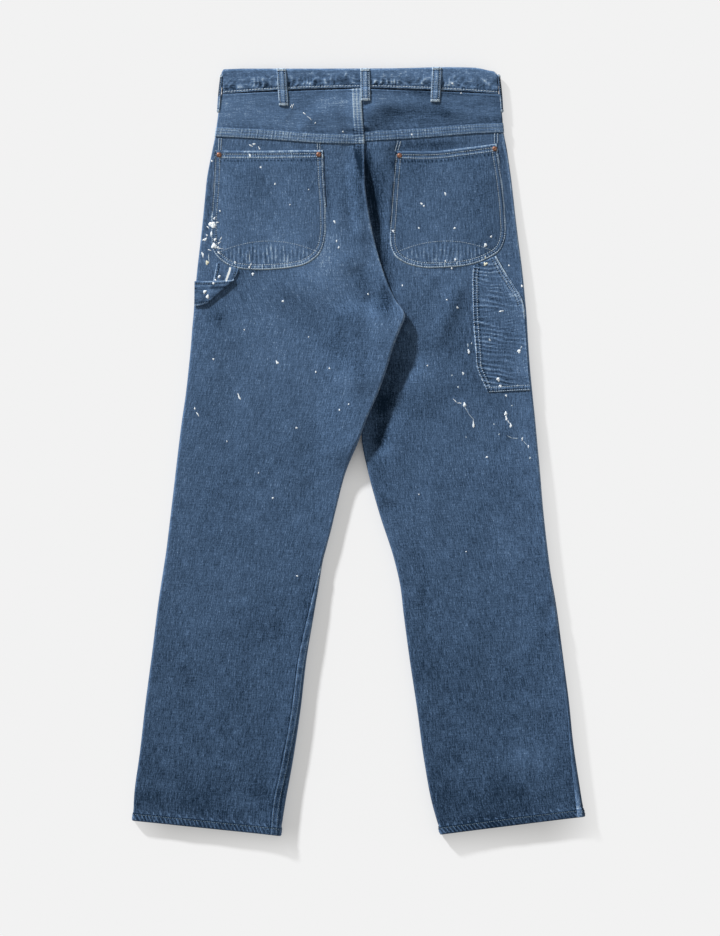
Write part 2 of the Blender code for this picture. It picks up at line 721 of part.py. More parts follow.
def main():
    """Build every sub-part in the order in which they lie on each other."""
    for old in list(bpy.data.objects):
        bpy.data.objects.remove(old)
    parts = bpy.data.collections.new("painter_trousers")
    bpy.context.scene.collection.children.link(parts)
    panels = build_panels(parts)
    band = build_waistband(parts)
    build_button(parts)
    build_fly_shield(parts, [panels["front_left"], panels["front_right"]])
    tool_pocket = build_tool_pocket(parts, panels["back_right"])
    backs = [panels["back_left"], panels["back_right"]]
    pockets = build_back_pockets(parts, backs + [tool_pocket])
    build_rivets(parts, pockets)
    build_hammer_loop(parts, [panels["back_left"]])
    build_back_loops(parts, [panels["yoke_left"], panels["yoke_right"], band])
    build_front_loops(parts)
    build_side_loops(parts)


main()
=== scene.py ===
"""Paint spattered dungarees: worn denim work trousers laid out flat, back side up.

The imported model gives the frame. Every piece of cloth is rebuilt here as a fine shell on the same
sections, with its creases, puckers, felled seams, stitches and paint. +X is the wearer's right,
+Y the waist and +Z up. Sizes are in millimetres until a mesh is made.
"""
import logging
import math
from dataclasses import dataclass, field
from enum import Enum
from typing import Iterable, Sequence

import bpy
import numpy as np
from bpy.types import Material, Node, NodeSocket as Socket, Object
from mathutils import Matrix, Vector
from mathutils.bvhtree import BVHTree


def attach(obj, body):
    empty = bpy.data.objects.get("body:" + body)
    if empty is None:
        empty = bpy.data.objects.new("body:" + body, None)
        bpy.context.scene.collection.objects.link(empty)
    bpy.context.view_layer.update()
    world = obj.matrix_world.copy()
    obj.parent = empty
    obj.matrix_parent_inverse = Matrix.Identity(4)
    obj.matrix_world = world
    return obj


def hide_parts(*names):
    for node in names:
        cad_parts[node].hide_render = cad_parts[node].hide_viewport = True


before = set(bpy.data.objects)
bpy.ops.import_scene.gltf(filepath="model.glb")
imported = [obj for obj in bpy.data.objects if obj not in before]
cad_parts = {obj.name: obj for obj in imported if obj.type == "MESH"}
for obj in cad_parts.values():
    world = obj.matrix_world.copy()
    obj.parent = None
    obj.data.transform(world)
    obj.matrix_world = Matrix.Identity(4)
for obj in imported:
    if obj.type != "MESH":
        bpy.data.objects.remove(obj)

LOG = logging.getLogger("dungarees")
MM = 0.001
CLOTH_WALL = 1.0
SEAM_GAP = 0.25
CLEAR = 0.35               # between the left half and the right half under it
WAIST_LIFT = 2.4           # the waistband rests on its front loops and button
CROTCH_Y = 256.0
TURN = 2 * math.pi         # once round, in radians
Array = np.ndarray
Number = float | Array

# Sections of each half, from the waist down: height and place of the outer edge, of the inner
# edge, and the distances of the two seams from them (negative on the underside).
LEFT_FRONT_TOP = (
    (499.5, -192, 489, 7.3, -2, 0), (478, -195.8, 468, 7.3, -2, 0), (459, -198.2, 449, 7.3, -2, 0))
RIGHT_FRONT_TOP = (
    (499.5, 197, 489, -5, -2, 0), (478, 199.6, 468, -5, -2, 0), (459, 201.2, 449, -5, -2, 0))
LEFT_YOKE = (
    (499.5, -192.3, 507, 3, -2, -9), (484, -195, 486, 3.6, -2, -9), (470, -196.8, 467, 4.6, -2, -9),
    (457, -198.4, 450, 6, -2, -9))
LEFT_LEG = (
    (440.4, -200.9, 431.6, 7.3, -2, -8.8), (420, -205, 413, 7.2, -2, -8.7),
    (385, -211.9, 380, 8.2, -2, -7.7), (350, -215.5, 347, 12, -2, -8),
    (315, -219, 313, 18, -2, -12.2), (285, -222.3, 284, 24.8, -2, -18.8),
    (258, -225.5, 258, 32.3, -2, -26), (232, -228, 232, 41.7, -2, -32.7),
    (210, -229.8, 210, 52.5, -2, -33.5), (192, -231, 191, 65, -2, -31.5),
    (174, -232.7, 173, 59, -2, -23.5), (148, -234.7, 147, 48.6, -2, -16),
    (115, -238, 114, 38.7, -2, -11), (80, -241.9, 78, 25.6, -2, -9), (45, -247, 42, 9.9, -2, -8),
    (18, -250.5, 14, -0.2, -2, -7), (-20, -255, -25, -16.8, -2, -5),
    (-75, -261.4, -80, -31.6, -2, -3.4), (-110, -265.6, -116, -40.3, -2, -1.4),
    (-142, -269.6, -149, -50, -2, 0.8), (-174, -274.6, -181, -55.7, -2, 3.6),
    (-210, -280, -218, -61.1, -2, 7.3), (-280, -288.7, -290, -72.9, -2, 11.5),
    (-350, -298, -362, -81.4, -2, 12.5), (-420, -306, -435, -92.4, -2, 14.8),
    (-480, -314, -498, -103.7, -2, 16.5), (-516, -315.5, -537, -109.5, -2, 14))
RIGHT_YOKE = (
    (499.5, 197.6, 507, -9.5, -2, 3), (484, 199.2, 486, -9, -2, 3), (470, 200.5, 467, -8, -2, 3),
    (459, 201.3, 450, -6.6, -2, 3))
RIGHT_LEG = (
    (444.4, 202.6, 433.4, -5, -2, 3), (425, 206.6, 413, -5, -2, 3), (390, 212.1, 380, -3, -2, 3),
    (355, 216.3, 347, 0, -2, 3.2), (320, 220.2, 313, 1.8, -2, 3.4), (290, 223.9, 284, 2.8, -2, 2.6),
    (262, 227.6, 258, 3.6, -2, 2), (235, 230.6, 232, 4, -2, -1), (212, 232.7, 210, 4, -2, -4),
    (192, 234.6, 191, 4, -2, -5), (175, 235.6, 173, 4, -2, -5), (150, 237.1, 147, 4, -2, -5),
    (115, 239.6, 114, 4, -2, -5), (80, 243, 78, 3.8, -2, -5), (45, 246.6, 42, 3.6, -2, -5),
    (18, 249.1, 14, 4.4, -2, -5), (-20, 252.7, -25, 12.1, -2, -5), (-80, 257.7, -86, 28.6, -2, -5),
    (-145, 265, -152, 49.8, -1.4, -5), (-180, 269.7, -188, 58, -0.6, -5),
    (-215, 275.4, -224, 62.3, 0.8, -5), (-275, 283.5, -287, 70.6, 2.8, -5),
    (-345, 292.9, -360, 81.5, 4, -6), (-415, 300.8, -433, 91.5, 6, -6),
    (-472, 309.5, -493, 102.7, 9, -6), (-510, 315.5, -535, 115, 10, -6))
# How thick the flattened tube lies: height, in the middle, at the outer edge, at the inner edge.
LEFT_PLUMP = (
    (510, 6.2, 5.8, 2.4), (440, 6.6, 6.2, 2), (408, 7.2, 6.7, 2.8), (380, 7.8, 7.2, 6.4),
    (355, 8.2, 7.6, 7.6), (314, 8.6, 8.2, 6.4), (280, 9.2, 8.8, 2.8), (240, 9.8, 9.4, 2.4),
    (212, 10.4, 9.8, 3), (190, 10.8, 10.2, 9.4), (158, 11.4, 10.8, 12.2), (130, 11.6, 11, 13),
    (104, 11.6, 11.2, 13.8), (76, 11.4, 11.4, 11), (40, 11.2, 11.6, 12), (10, 11, 11.8, 12.6),
    (-40, 11, 12.2, 11.4), (-150, 10.6, 12.6, 11.4), (-350, 10.4, 12.8, 12.2), (-480, 10.4, 11, 13),
    (-506, 10.6, 9.4, 14), (-526, 11, 8.8, 15), (-545, 11.2, 8.6, 15.4))
RIGHT_PLUMP = (
    (510, 6.2, 6, 3.4), (440, 6.8, 6.6, 4), (400, 7.8, 7.4, 6), (355, 8.6, 8.4, 6.8),
    (300, 9, 10.4, 6), (256, 9, 11.2, 5), (210, 9, 11.6, 5), (150, 9, 11.8, 6.4),
    (60, 9.4, 12.6, 7.6), (-20, 10.6, 14.2, 9.4), (-150, 10.8, 16, 10.8), (-350, 10.8, 16, 11.4),
    (-480, 10.8, 15.2, 12), (-506, 11, 14.4, 12.6), (-524, 11.6, 13.6, 13.6),
    (-540, 12, 13.6, 14.2))


def smooth(t: Number) -> Number:
    """Ease from 0 to 1."""
    t = np.clip(t, 0.0, 1.0)
    return t * t * (3.0 - 2.0 * t)


def mix(a: Number, b: Number, t: Number) -> Number:
    """Straight blend from a to b."""
    return a + (b - a) * t


def bump(x: Number, centre: float, width: float) -> Number:
    """A round hill of height 1 at centre."""
    return np.exp(-(((x - centre) / width) ** 2))


def bumps(width: float, *places: tuple[Number, float]) -> Number:
    """Several hills of one width, each from its own distance and centre."""
    return sum(bump(x, centre, width) for x, centre in places)


def through(table: Sequence[Sequence[float]], at: Number, column: int) -> Array:
    """A smooth curve through one column of a table.

    Args:
        table: Rows whose first value falls from row to row.
        at: Where to read the curve, in the first column's terms.
        column: Which column to read.

    Returns:
        The curve's values, held level beyond the table's ends.
    """
    data = np.array(table, float)
    keys, values = -data[:, 0], data[:, column]
    slopes = np.gradient(values, keys)
    at = np.clip(-np.asarray(at, float), keys[0], keys[-1])
    i = np.clip(np.searchsorted(keys, at) - 1, 0, len(keys) - 2)
    run = keys[i + 1] - keys[i]
    t = (at - keys[i]) / run
    near = values[i] * (1 + 2 * t) * (1 - t) ** 2 + slopes[i] * run * t * (1 - t) ** 2
    far = values[i + 1] * t * t * (3 - 2 * t) + slopes[i + 1] * run * t * t * (t - 1)
    return near + far


def bent(points: Sequence[Sequence[float]], pitch: float = 3.0) -> Array:
    """A smooth line through given points, cut into even steps.

    Args:
        points: The points, each of two or three values.
        pitch: Rough length of a step.

    Returns:
        The finer line's points.
    """
    raw = np.array(points, float)
    run = np.concatenate([[0], np.cumsum(np.linalg.norm(np.diff(raw, axis=0), axis=1))])
    at = np.linspace(0, run[-1], max(3, int(run[-1] / pitch) + 1))
    table = np.column_stack([-run, raw])
    return np.column_stack([through(table, -at, c + 1) for c in range(raw.shape[1])])


def nearest(line: Array, x: Array, y: Array) -> tuple[Array, Array, Array]:
    """Where places lie along a line.

    Args:
        line: Points of the line.
        x: Places across.
        y: Places along.

    Returns:
        Distance to the line, arc length there, and +1 or -1 for its left or right side.
    """
    gap, run, side = np.full(np.shape(x), 1e9), np.zeros(np.shape(x)), np.ones(np.shape(x))
    done = 0.0
    for p, q in zip(line[:-1, :2], line[1:, :2]):
        step = q - p
        length = float(np.hypot(*step)) or 1e-9
        t = np.clip(((x - p[0]) * step[0] + (y - p[1]) * step[1]) / length ** 2, 0, 1)
        gx, gy = x - p[0] - t * step[0], y - p[1] - t * step[1]
        here = np.hypot(gx, gy)
        closer = here < gap
        gap = np.where(closer, here, gap)
        run = np.where(closer, done + t * length, run)
        side = np.where(closer, np.sign(step[0] * gy - step[1] * gx), side)
        done += length
    return gap, run, side


class Rumple:
    """Smooth, seeded unevenness, as hills and hollows of about height 1."""

    def __init__(self, seed: int) -> None:
        """Draw the lattice of random heights."""
        self.lattice = np.random.default_rng(seed).uniform(-1, 1, (64, 64))

    def at(self, x: Array, y: Array, across: float, along: float) -> Array:
        """Heights at places, with hills of the given sizes.

        Args:
            x: Places across.
            y: Places along.
            across: Size of a hill across.
            along: Size of a hill along.

        Returns:
            The heights.
        """
        u, v = x / across, y / along
        i, j = np.floor(u).astype(int), np.floor(v).astype(int)
        s, t = smooth(u - i), smooth(v - j)
        a, b = self.lattice[i % 64, j % 64], self.lattice[(i + 1) % 64, j % 64]
        c, d = self.lattice[i % 64, (j + 1) % 64], self.lattice[(i + 1) % 64, (j + 1) % 64]
        return mix(mix(a, b, s), mix(c, d, s), t)

    def along(self, run: Array, size: float) -> Array:
        """Heights along a line, with hills of the given size."""
        return self.at(run, 0 * run, size, size)

    def puckers(self, run: Array, pitch: float, size: float = 15.0) -> Array:
        """Ridges across a line at an uneven pitch, of height about 1."""
        return crests(TURN * run / pitch + 2.6 * self.along(run, size))


@dataclass(frozen=True)
class Crease:
    """A soft ridge along a line that bends towards via; a trough where its height is negative."""

    start: tuple[float, float]
    via: tuple[float, float]
    end: tuple[float, float]
    height: float
    width: float

    def rise(self, x: Array, y: Array) -> Array:
        """Height that the crease adds at places on the cloth.

        Args:
            x: Places across.
            y: Places along.

        Returns:
            The heights.
        """
        t = np.linspace(0, 1, 8)[:, None]
        a, b, c = (np.array(p) for p in (self.start, self.via, self.end))
        line = a * (1 - t) ** 2 + b * 2 * t * (1 - t) + c * t ** 2
        gap, run, _ = nearest(line, x, y)
        length = np.linalg.norm(np.diff(line, axis=0), axis=1).sum()
        taper = smooth(0.15 + 2.6 * np.minimum(run, length - run) / length)
        return self.height * np.exp(-((gap / self.width) ** 2)) * taper


def creases(*rows: Sequence[float]) -> tuple[Crease, ...]:
    """Creases from rows of their three points, height and width."""
    return tuple(Crease(row[:2], row[2:4], row[4:6], *row[6:]) for row in rows)


LEFT_CREASES = creases(
    # The drag line to the crotch and the hollow below it, then the leg from the top down.
    (-112, 250, -30, 226, 40, 160, 3, 23), (-128, 214, -60, 176, 20, 110, -2.4, 26),
    (-20, 276, -12, 262, -4, 250, 1.8, 20), (10, 222, 20, 206, 30, 192, -1.6, 12),
    (-34, 300, -26, 340, -22, 372, 0.8, 11), (-190, 205, -204, 120, -214, 30, 0.8, 16),
    (-160, 120, -150, 40, -158, -40, 0.5, 14), (-96, 70, -90, 0, -98, -70, 0.5, 15),
    (-214, -200, -186, -207, -150, -206, -0.5, 7), (-242, -112, -200, -120, -170, -112, 0.4, 9),
    (-132, -232, -118, -250, -104, -276, -0.7, 16), (-80, -40, -60, -62, -52, -84, -1, 13),
    (-88, -96, -74, -120, -72, -142, 0.7, 11), (-180, -290, -172, -350, -180, -410, 0.5, 17),
    (-236, -310, -228, -350, -232, -390, -0.5, 14), (-262, -440, -210, -432, -160, -444, 0.5, 10),
    (-150, -330, -140, -360, -132, -400, -0.6, 13), (-240, -380, -222, -400, -200, -408, 0.5, 9),
    (-140, -470, -128, -490, -118, -512, -0.7, 10), (-300, -498, -250, -504, -200, -512, -0.5, 9),
    # The yoke, left of the middle.
    (-90, 455, -68, 468, -40, 474, 1.2, 13), (-100, 470, -88, 462, -80, 452, -1.1, 11),
    (-14, 440, -6, 420, 2, 404, -1.6, 11))
RIGHT_CREASES = creases(
    # Beside the tool pocket and down the leg.
    (143, 254, 134, 206, 106, 148, 2, 13), (66, 236, 58, 200, 62, 158, 0.7, 14),
    (92, 132, 88, 96, 96, 60, 0.7, 16), (34, -70, 44, -78, 58, -80, -1.2, 8),
    (22, -18, 34, -46, 40, -70, -0.9, 12), (84, -120, 88, -190, 94, -250, -0.7, 10),
    (104, -30, 98, -90, 108, -140, 0.5, 14), (150, 60, 158, 0, 152, -60, -0.5, 14),
    (210, 20, 216, -50, 226, -120, 0.5, 17),
    # By the outseam and above the hem.
    (276, -204, 268, -226, 256, -246, -1.3, 7), (286, -214, 278, -236, 268, -256, 1.2, 7),
    (226, -344, 240, -356, 262, -366, 1.1, 12), (208, -428, 226, -438, 250, -440, 1, 11),
    (150, -240, 156, -300, 150, -350, 0.6, 17), (120, -330, 126, -380, 136, -420, -0.5, 14),
    (188, -300, 180, -350, 190, -400, -0.5, 12), (170, -150, 182, -156, 200, -152, 0.4, 8),
    (230, -150, 236, -170, 232, -190, -0.5, 10), (150, -470, 200, -476, 250, -466, 0.5, 9),
    (260, -480, 274, -490, 292, -498, -0.6, 9),
    # The yoke, right of the middle.
    (34, 470, 56, 474, 86, 466, -1.5, 14), (14, 486, 20, 474, 16, 462, 1.2, 10),
    (110, 470, 136, 476, 160, 470, 0.9, 12),
    # Beside the left half's edge.
    (30, 94, 44, 82, 60, 72, 2.2, 10), (62, 98, 52, 74, 43, 50, 2, 8),
    (48, 132, 62, 116, 74, 98, -1.3, 12), (82, 150, 82, 130, 72, 108, -2, 13),
    (8, 42, 22, 24, 36, -4, -2.6, 12), (46, 428, 50, 414, 48, 398, -1.2, 9),
    (24, 436, 30, 420, 28, 400, 0.8, 9))


@dataclass(frozen=True)
class WearAndShade:
    """A soft patch of tone, paler where the amount is positive: some are faded or unfaded cloth,
    others painted shade and painted light.
    """

    x: float
    y: float
    across: float
    along: float
    amount: float
    lean: float = 0.0        # degrees from upright, turning left

    def tone(self, x: Array, y: Array) -> Array:
        """What the patch adds to the tone at places on the cloth."""
        c, s = math.cos(math.radians(self.lean)), math.sin(math.radians(self.lean))
        u = (x - self.x) * c + (y - self.y) * s
        v = (y - self.y) * c - (x - self.x) * s
        return self.amount * np.exp(-((u / self.across) ** 2) - (v / self.along) ** 2)


def patches(*rows: Sequence[float]) -> tuple[WearAndShade, ...]:
    """Soft patches from rows of place, size, amount and, where they lean, lean."""
    return tuple(WearAndShade(*row) for row in rows)


# Fading, painted shade and painted light. The dark patches beside the seat seam, along the pockets'
# sides, under their feet, above the hem and in the hollow below the drag line are painted shade;
# some pale ones on the crests of folds are painted light.
LEFT_WEAR_AND_SHADE = patches(
    (-54, 275, 34, 44, 0.13), (6, 236, 12, 26, -0.12, 20), (30, 182, 18, 20, 0.08),
    (-64, 184, 20, 70, -0.08, 50), (-14, 172, 22, 34, -0.06), (-10, 92, 34, 26, 0.05),
    (-165, 60, 16, 26, 0.06), (2, 120, 13, 70, -0.08), (-166, -487, 36, 14, 0.11),
    (36, 208, 12, 22, -0.24), (3, 392, 10, 52, -0.27), (-32, 489, 18, 9, 0.08),
    (-166, 240, 18, 28, -0.11), (-65, 425, 16, 9, -0.08), (-197, 188, 15, 18, -0.11),
    (-98, -450, 12, 50, -0.07), (-126, 254, 30, 1.7, -0.26, 2.4), (-209, 350, 6, 56, -0.12, -4),
    (-43.5, 350, 4, 52, -0.1, 3.3), (-122, -250, 22, 18, -0.06), (-196, -488, 130, 24, -0.1),
    (-196, -524, 130, 9, -0.05), (-118, 128, 46, 50, 0.05), (-13, 450, 10, 3.5, -0.24),
    (-70, -225, 16, 40, -0.05), (-188, 458, 26, 16, 0.09), (-34, 458, 16, 8, 0.09),
    (36, 190, 14, 16, -0.1), (-32, 150, 15, 44, -0.04), (-14, 350, 16, 70, -0.05),
    (-36, 486, 22, 12, 0.07), (-74, 474, 12, 20, -0.06, 40), (-150, 480, 40, 10, 0.05),
    (-160, 452, 26, 8, -0.05), (-96, 452, 30, 7, 0.05), (-240, -100, 20, 60, 0.03),
    (-180, -60, 30, 60, -0.03))
# Fading and painted shadow. The darkest patches beside the seat seam and in the crotch stand for
# the left half's shadow, the narrow ones round the pockets for the pockets' shadows, and those
# above the hem for shade.
RIGHT_WEAR_AND_SHADE = patches(
    (11, 402, 8, 36, -0.2), (32, 20, 9, 20, -0.2, -20), (205, -487, 16, 12, 0.08),
    (10, 428, 6, 5, 0.03), (49, 411, 8, 22, -0.12), (22, 335, 10, 66, -0.28, 7),
    (33, 375, 12, 50, -0.09), (120, 150, 50, 70, -0.06), (12, 449, 9, 3.5, -0.24),
    (232, 30, 12, 120, 0.05, 12), (100, 262, 26, 18, 0.09), (236, -405, 26, 34, 0.06),
    (35, 66, 13, 36, -0.3, -22), (45.8, 352, 1.6, 60, -0.16, -4.6),
    (103, 257.2, 32, 1.3, -0.34, -1), (208, 350, 5, 50, -0.08, 5), (156.4, 187, 1.7, 40, -0.1, 3),
    (105, 428, 44, 6, -0.25, 2.5), (85, 489, 80, 8, 0.07), (203, 424, 8, 12, -0.12),
    (136, 120, 16, 20, 0.07), (54, 122, 16, 46, -0.11, -14), (-4, 350, 16, 60, -0.05),
    (48, 492, 36, 8, 0.1), (136, 489, 14, 9, 0.08), (36, 270, 14, 40, -0.1, 14),
    (138, 198, 14, 40, -0.07, -20), (100, 111, 16, 22, 0.06), (37, -78, 14, 10, -0.08),
    (30, -38, 13, 28, -0.07), (89, -190, 7, 52, -0.05), (243, -352, 26, 16, 0.06),
    (228, -438, 26, 14, 0.06), (216, -220, 34, 120, 0.04), (206, -520, 130, 12, -0.12),
    (200, -486, 110, 22, -0.07), (250, -430, 30, 60, 0.05), (60, 474, 30, 12, -0.12),
    (124, 470, 20, 12, -0.1), (92, 502, 30, 5, -0.1), (90, 455, 40, 7, 0.05),
    (170, 486, 18, 12, 0.05), (22, 486, 10, 16, 0.06), (34, 222, 12, 30, -0.08))
# How much paler than its darkest the denim is, by height.
FADE = (
    (520, 0.14), (446, 0.12), (432, 0.09), (300, 0.08), (200, 0.05), (100, 0.02), (0, 0),
    (-100, -0.01), (-200, -0.05), (-300, -0.1), (-400, -0.13), (-500, -0.16), (-545, -0.16))


def plateau(distance: Number, width: float, soft: float = 1.2) -> Number:
    """1 up to a width from a border, then a soft step down to 0."""
    return smooth((width - distance) / soft + 0.5)


def crests(phase: Number) -> Number:
    """Narrow ridges with wider hollows between them, of height about 1."""
    return (np.exp(1.5 * np.sin(phase)) - 1.65) / 2.8


def spaced(*stops: tuple[float, float]) -> Array:
    """Places from the first stop to the last; each stop gives the step that follows it."""
    parts = []
    for (a, step), (b, _) in zip(stops[:-1], stops[1:]):
        parts.append(np.linspace(a, b, max(1, round(abs(b - a) / step)), endpoint=False))
    return np.append(np.concatenate(parts), stops[-1][0])


def beside(line: Array, distance: float) -> Array:
    """A line at an even distance to the left of another one."""
    ahead = np.gradient(line, axis=0)
    ahead = ahead / np.maximum(np.linalg.norm(ahead, axis=1, keepdims=True), 1e-9)
    return line + distance * np.column_stack([-ahead[:, 1], ahead[:, 0]])


def lift(y: Number) -> Number:
    """Height of the front panels' undersides above the surface."""
    return WAIST_LIFT * smooth((y - 415.0) / 50.0)


def over_laps(x: Number) -> Number:
    """Rise of the back over the lapped ends at the centre front."""
    return 1.5 * smooth((56 - np.abs(x - 2)) / 34)


def woven(x: Array, y: Array, z: Array, outward: float = 1.0) -> "Cloth":
    """Cloth from places across, along and up, each a row, a column or a whole grid."""
    return Cloth(np.stack(np.broadcast_arrays(x, y, z), axis=2), outward)


def shares(rows: int, stations: int) -> tuple[Array, Array]:
    """Even shares from 0 to 1 down a grid's rows and across its stations."""
    return np.linspace(0, 1, rows)[:, None], np.linspace(0, 1, stations)[None]


@dataclass(frozen=True)
class Section:
    """Lines across one half: places of its edges and of its seams."""

    y_out: Array
    out: Array
    y_in: Array
    inn: Array
    out_seam: Array
    in_seam: Array
    dip: Array               # how far it bends down towards the yoke seam's lowest place
    dip_at: float

    def height(self, x: Array) -> Array:
        """Distance up the garment at places across the section, which may lean."""
        straight = mix(self.y_out, self.y_in, (x - self.out) / (self.inn - self.out))
        return straight + self.dip * bump(x, self.dip_at, 62.0)


@dataclass
class Cloth:
    """A grid of points on the outer face of a piece, rows from the waist down."""

    points: Array
    outward: float = 1.0     # +1 where the outer face looks up, -1 where it looks down
    tone: Array = field(init=False)      # how pale it is at each point
    sewn: Array = field(init=False)      # for each point, run of the stitches and their pull

    def __post_init__(self) -> None:
        """Start with an even tone and no stitch holes."""
        self.tone = np.zeros(self.points.shape[:2])
        self.sewn = np.zeros(self.points.shape)

    def pull(self, run: Array, strength: Array) -> None:
        """Note how strongly stitches pull the cloth in, and how far along their row."""
        here = np.stack([run + 0 * strength, strength + 0 * run, 0 * run + 0 * strength], axis=2)
        self.sewn = np.where(here[..., 1:2] > self.sewn[..., 1:2], here, self.sewn)

    @property
    def x(self) -> Array:
        """Places across."""
        return self.points[..., 0]

    @property
    def y(self) -> Array:
        """Places along."""
        return self.points[..., 1]

    def run(self, axis: int) -> Array:
        """Distance over the cloth from the first row (axis 0) or first station (axis 1)."""
        steps = np.linalg.norm(np.diff(self.points, axis=axis), axis=2)
        pad = [(0, 0), (0, 0)]
        pad[axis] = (1, 0)
        return np.pad(np.cumsum(steps, axis=axis), pad)

    def left_over(self, axis: int) -> Array:
        """Distance over the cloth to the last row (axis 0) or last station (axis 1)."""
        run = self.run(axis)
        return run[-1:, :] - run if axis == 0 else run[:, -1:] - run

    def normals(self) -> Array:
        """Outward directions at every point."""
        across, along = np.gradient(self.points, axis=1), np.gradient(self.points, axis=0)
        n = np.cross(along, across) * self.outward
        return n / np.maximum(np.linalg.norm(n, axis=2, keepdims=True), 1e-9)

    def raise_by(self, amount: Array) -> None:
        """Move the outer face outwards, but not below the surface that it lies on."""
        self.points = self.points + self.normals() * amount[..., None]
        self.points[..., 2] = np.maximum(self.points[..., 2], 0.0)

    def line(self, distance: float, axis: int, from_end: bool) -> tuple[Array, Array]:
        """A line at an even distance from one border.

        Args:
            distance: How far from the border.
            axis: 0 for the first or last row, 1 for the first or last station.
            from_end: Whether the border is the last one.

        Returns:
            The line's points and outward directions.
        """
        run = self.left_over(axis) if from_end else self.run(axis)
        grid, normal = self.points, self.normals()
        if axis == 0:
            run, grid, normal = run.T, grid.transpose(1, 0, 2), normal.transpose(1, 0, 2)
        if from_end:
            run, grid, normal = run[:, ::-1], grid[:, ::-1], normal[:, ::-1]
        points = [[np.interp(distance, r, g[:, k]) for k in range(3)] for r, g in zip(run, grid)]
        facing = [[np.interp(distance, r, g[:, k]) for k in range(3)] for r, g in zip(run, normal)]
        return np.array(points), np.array(facing)


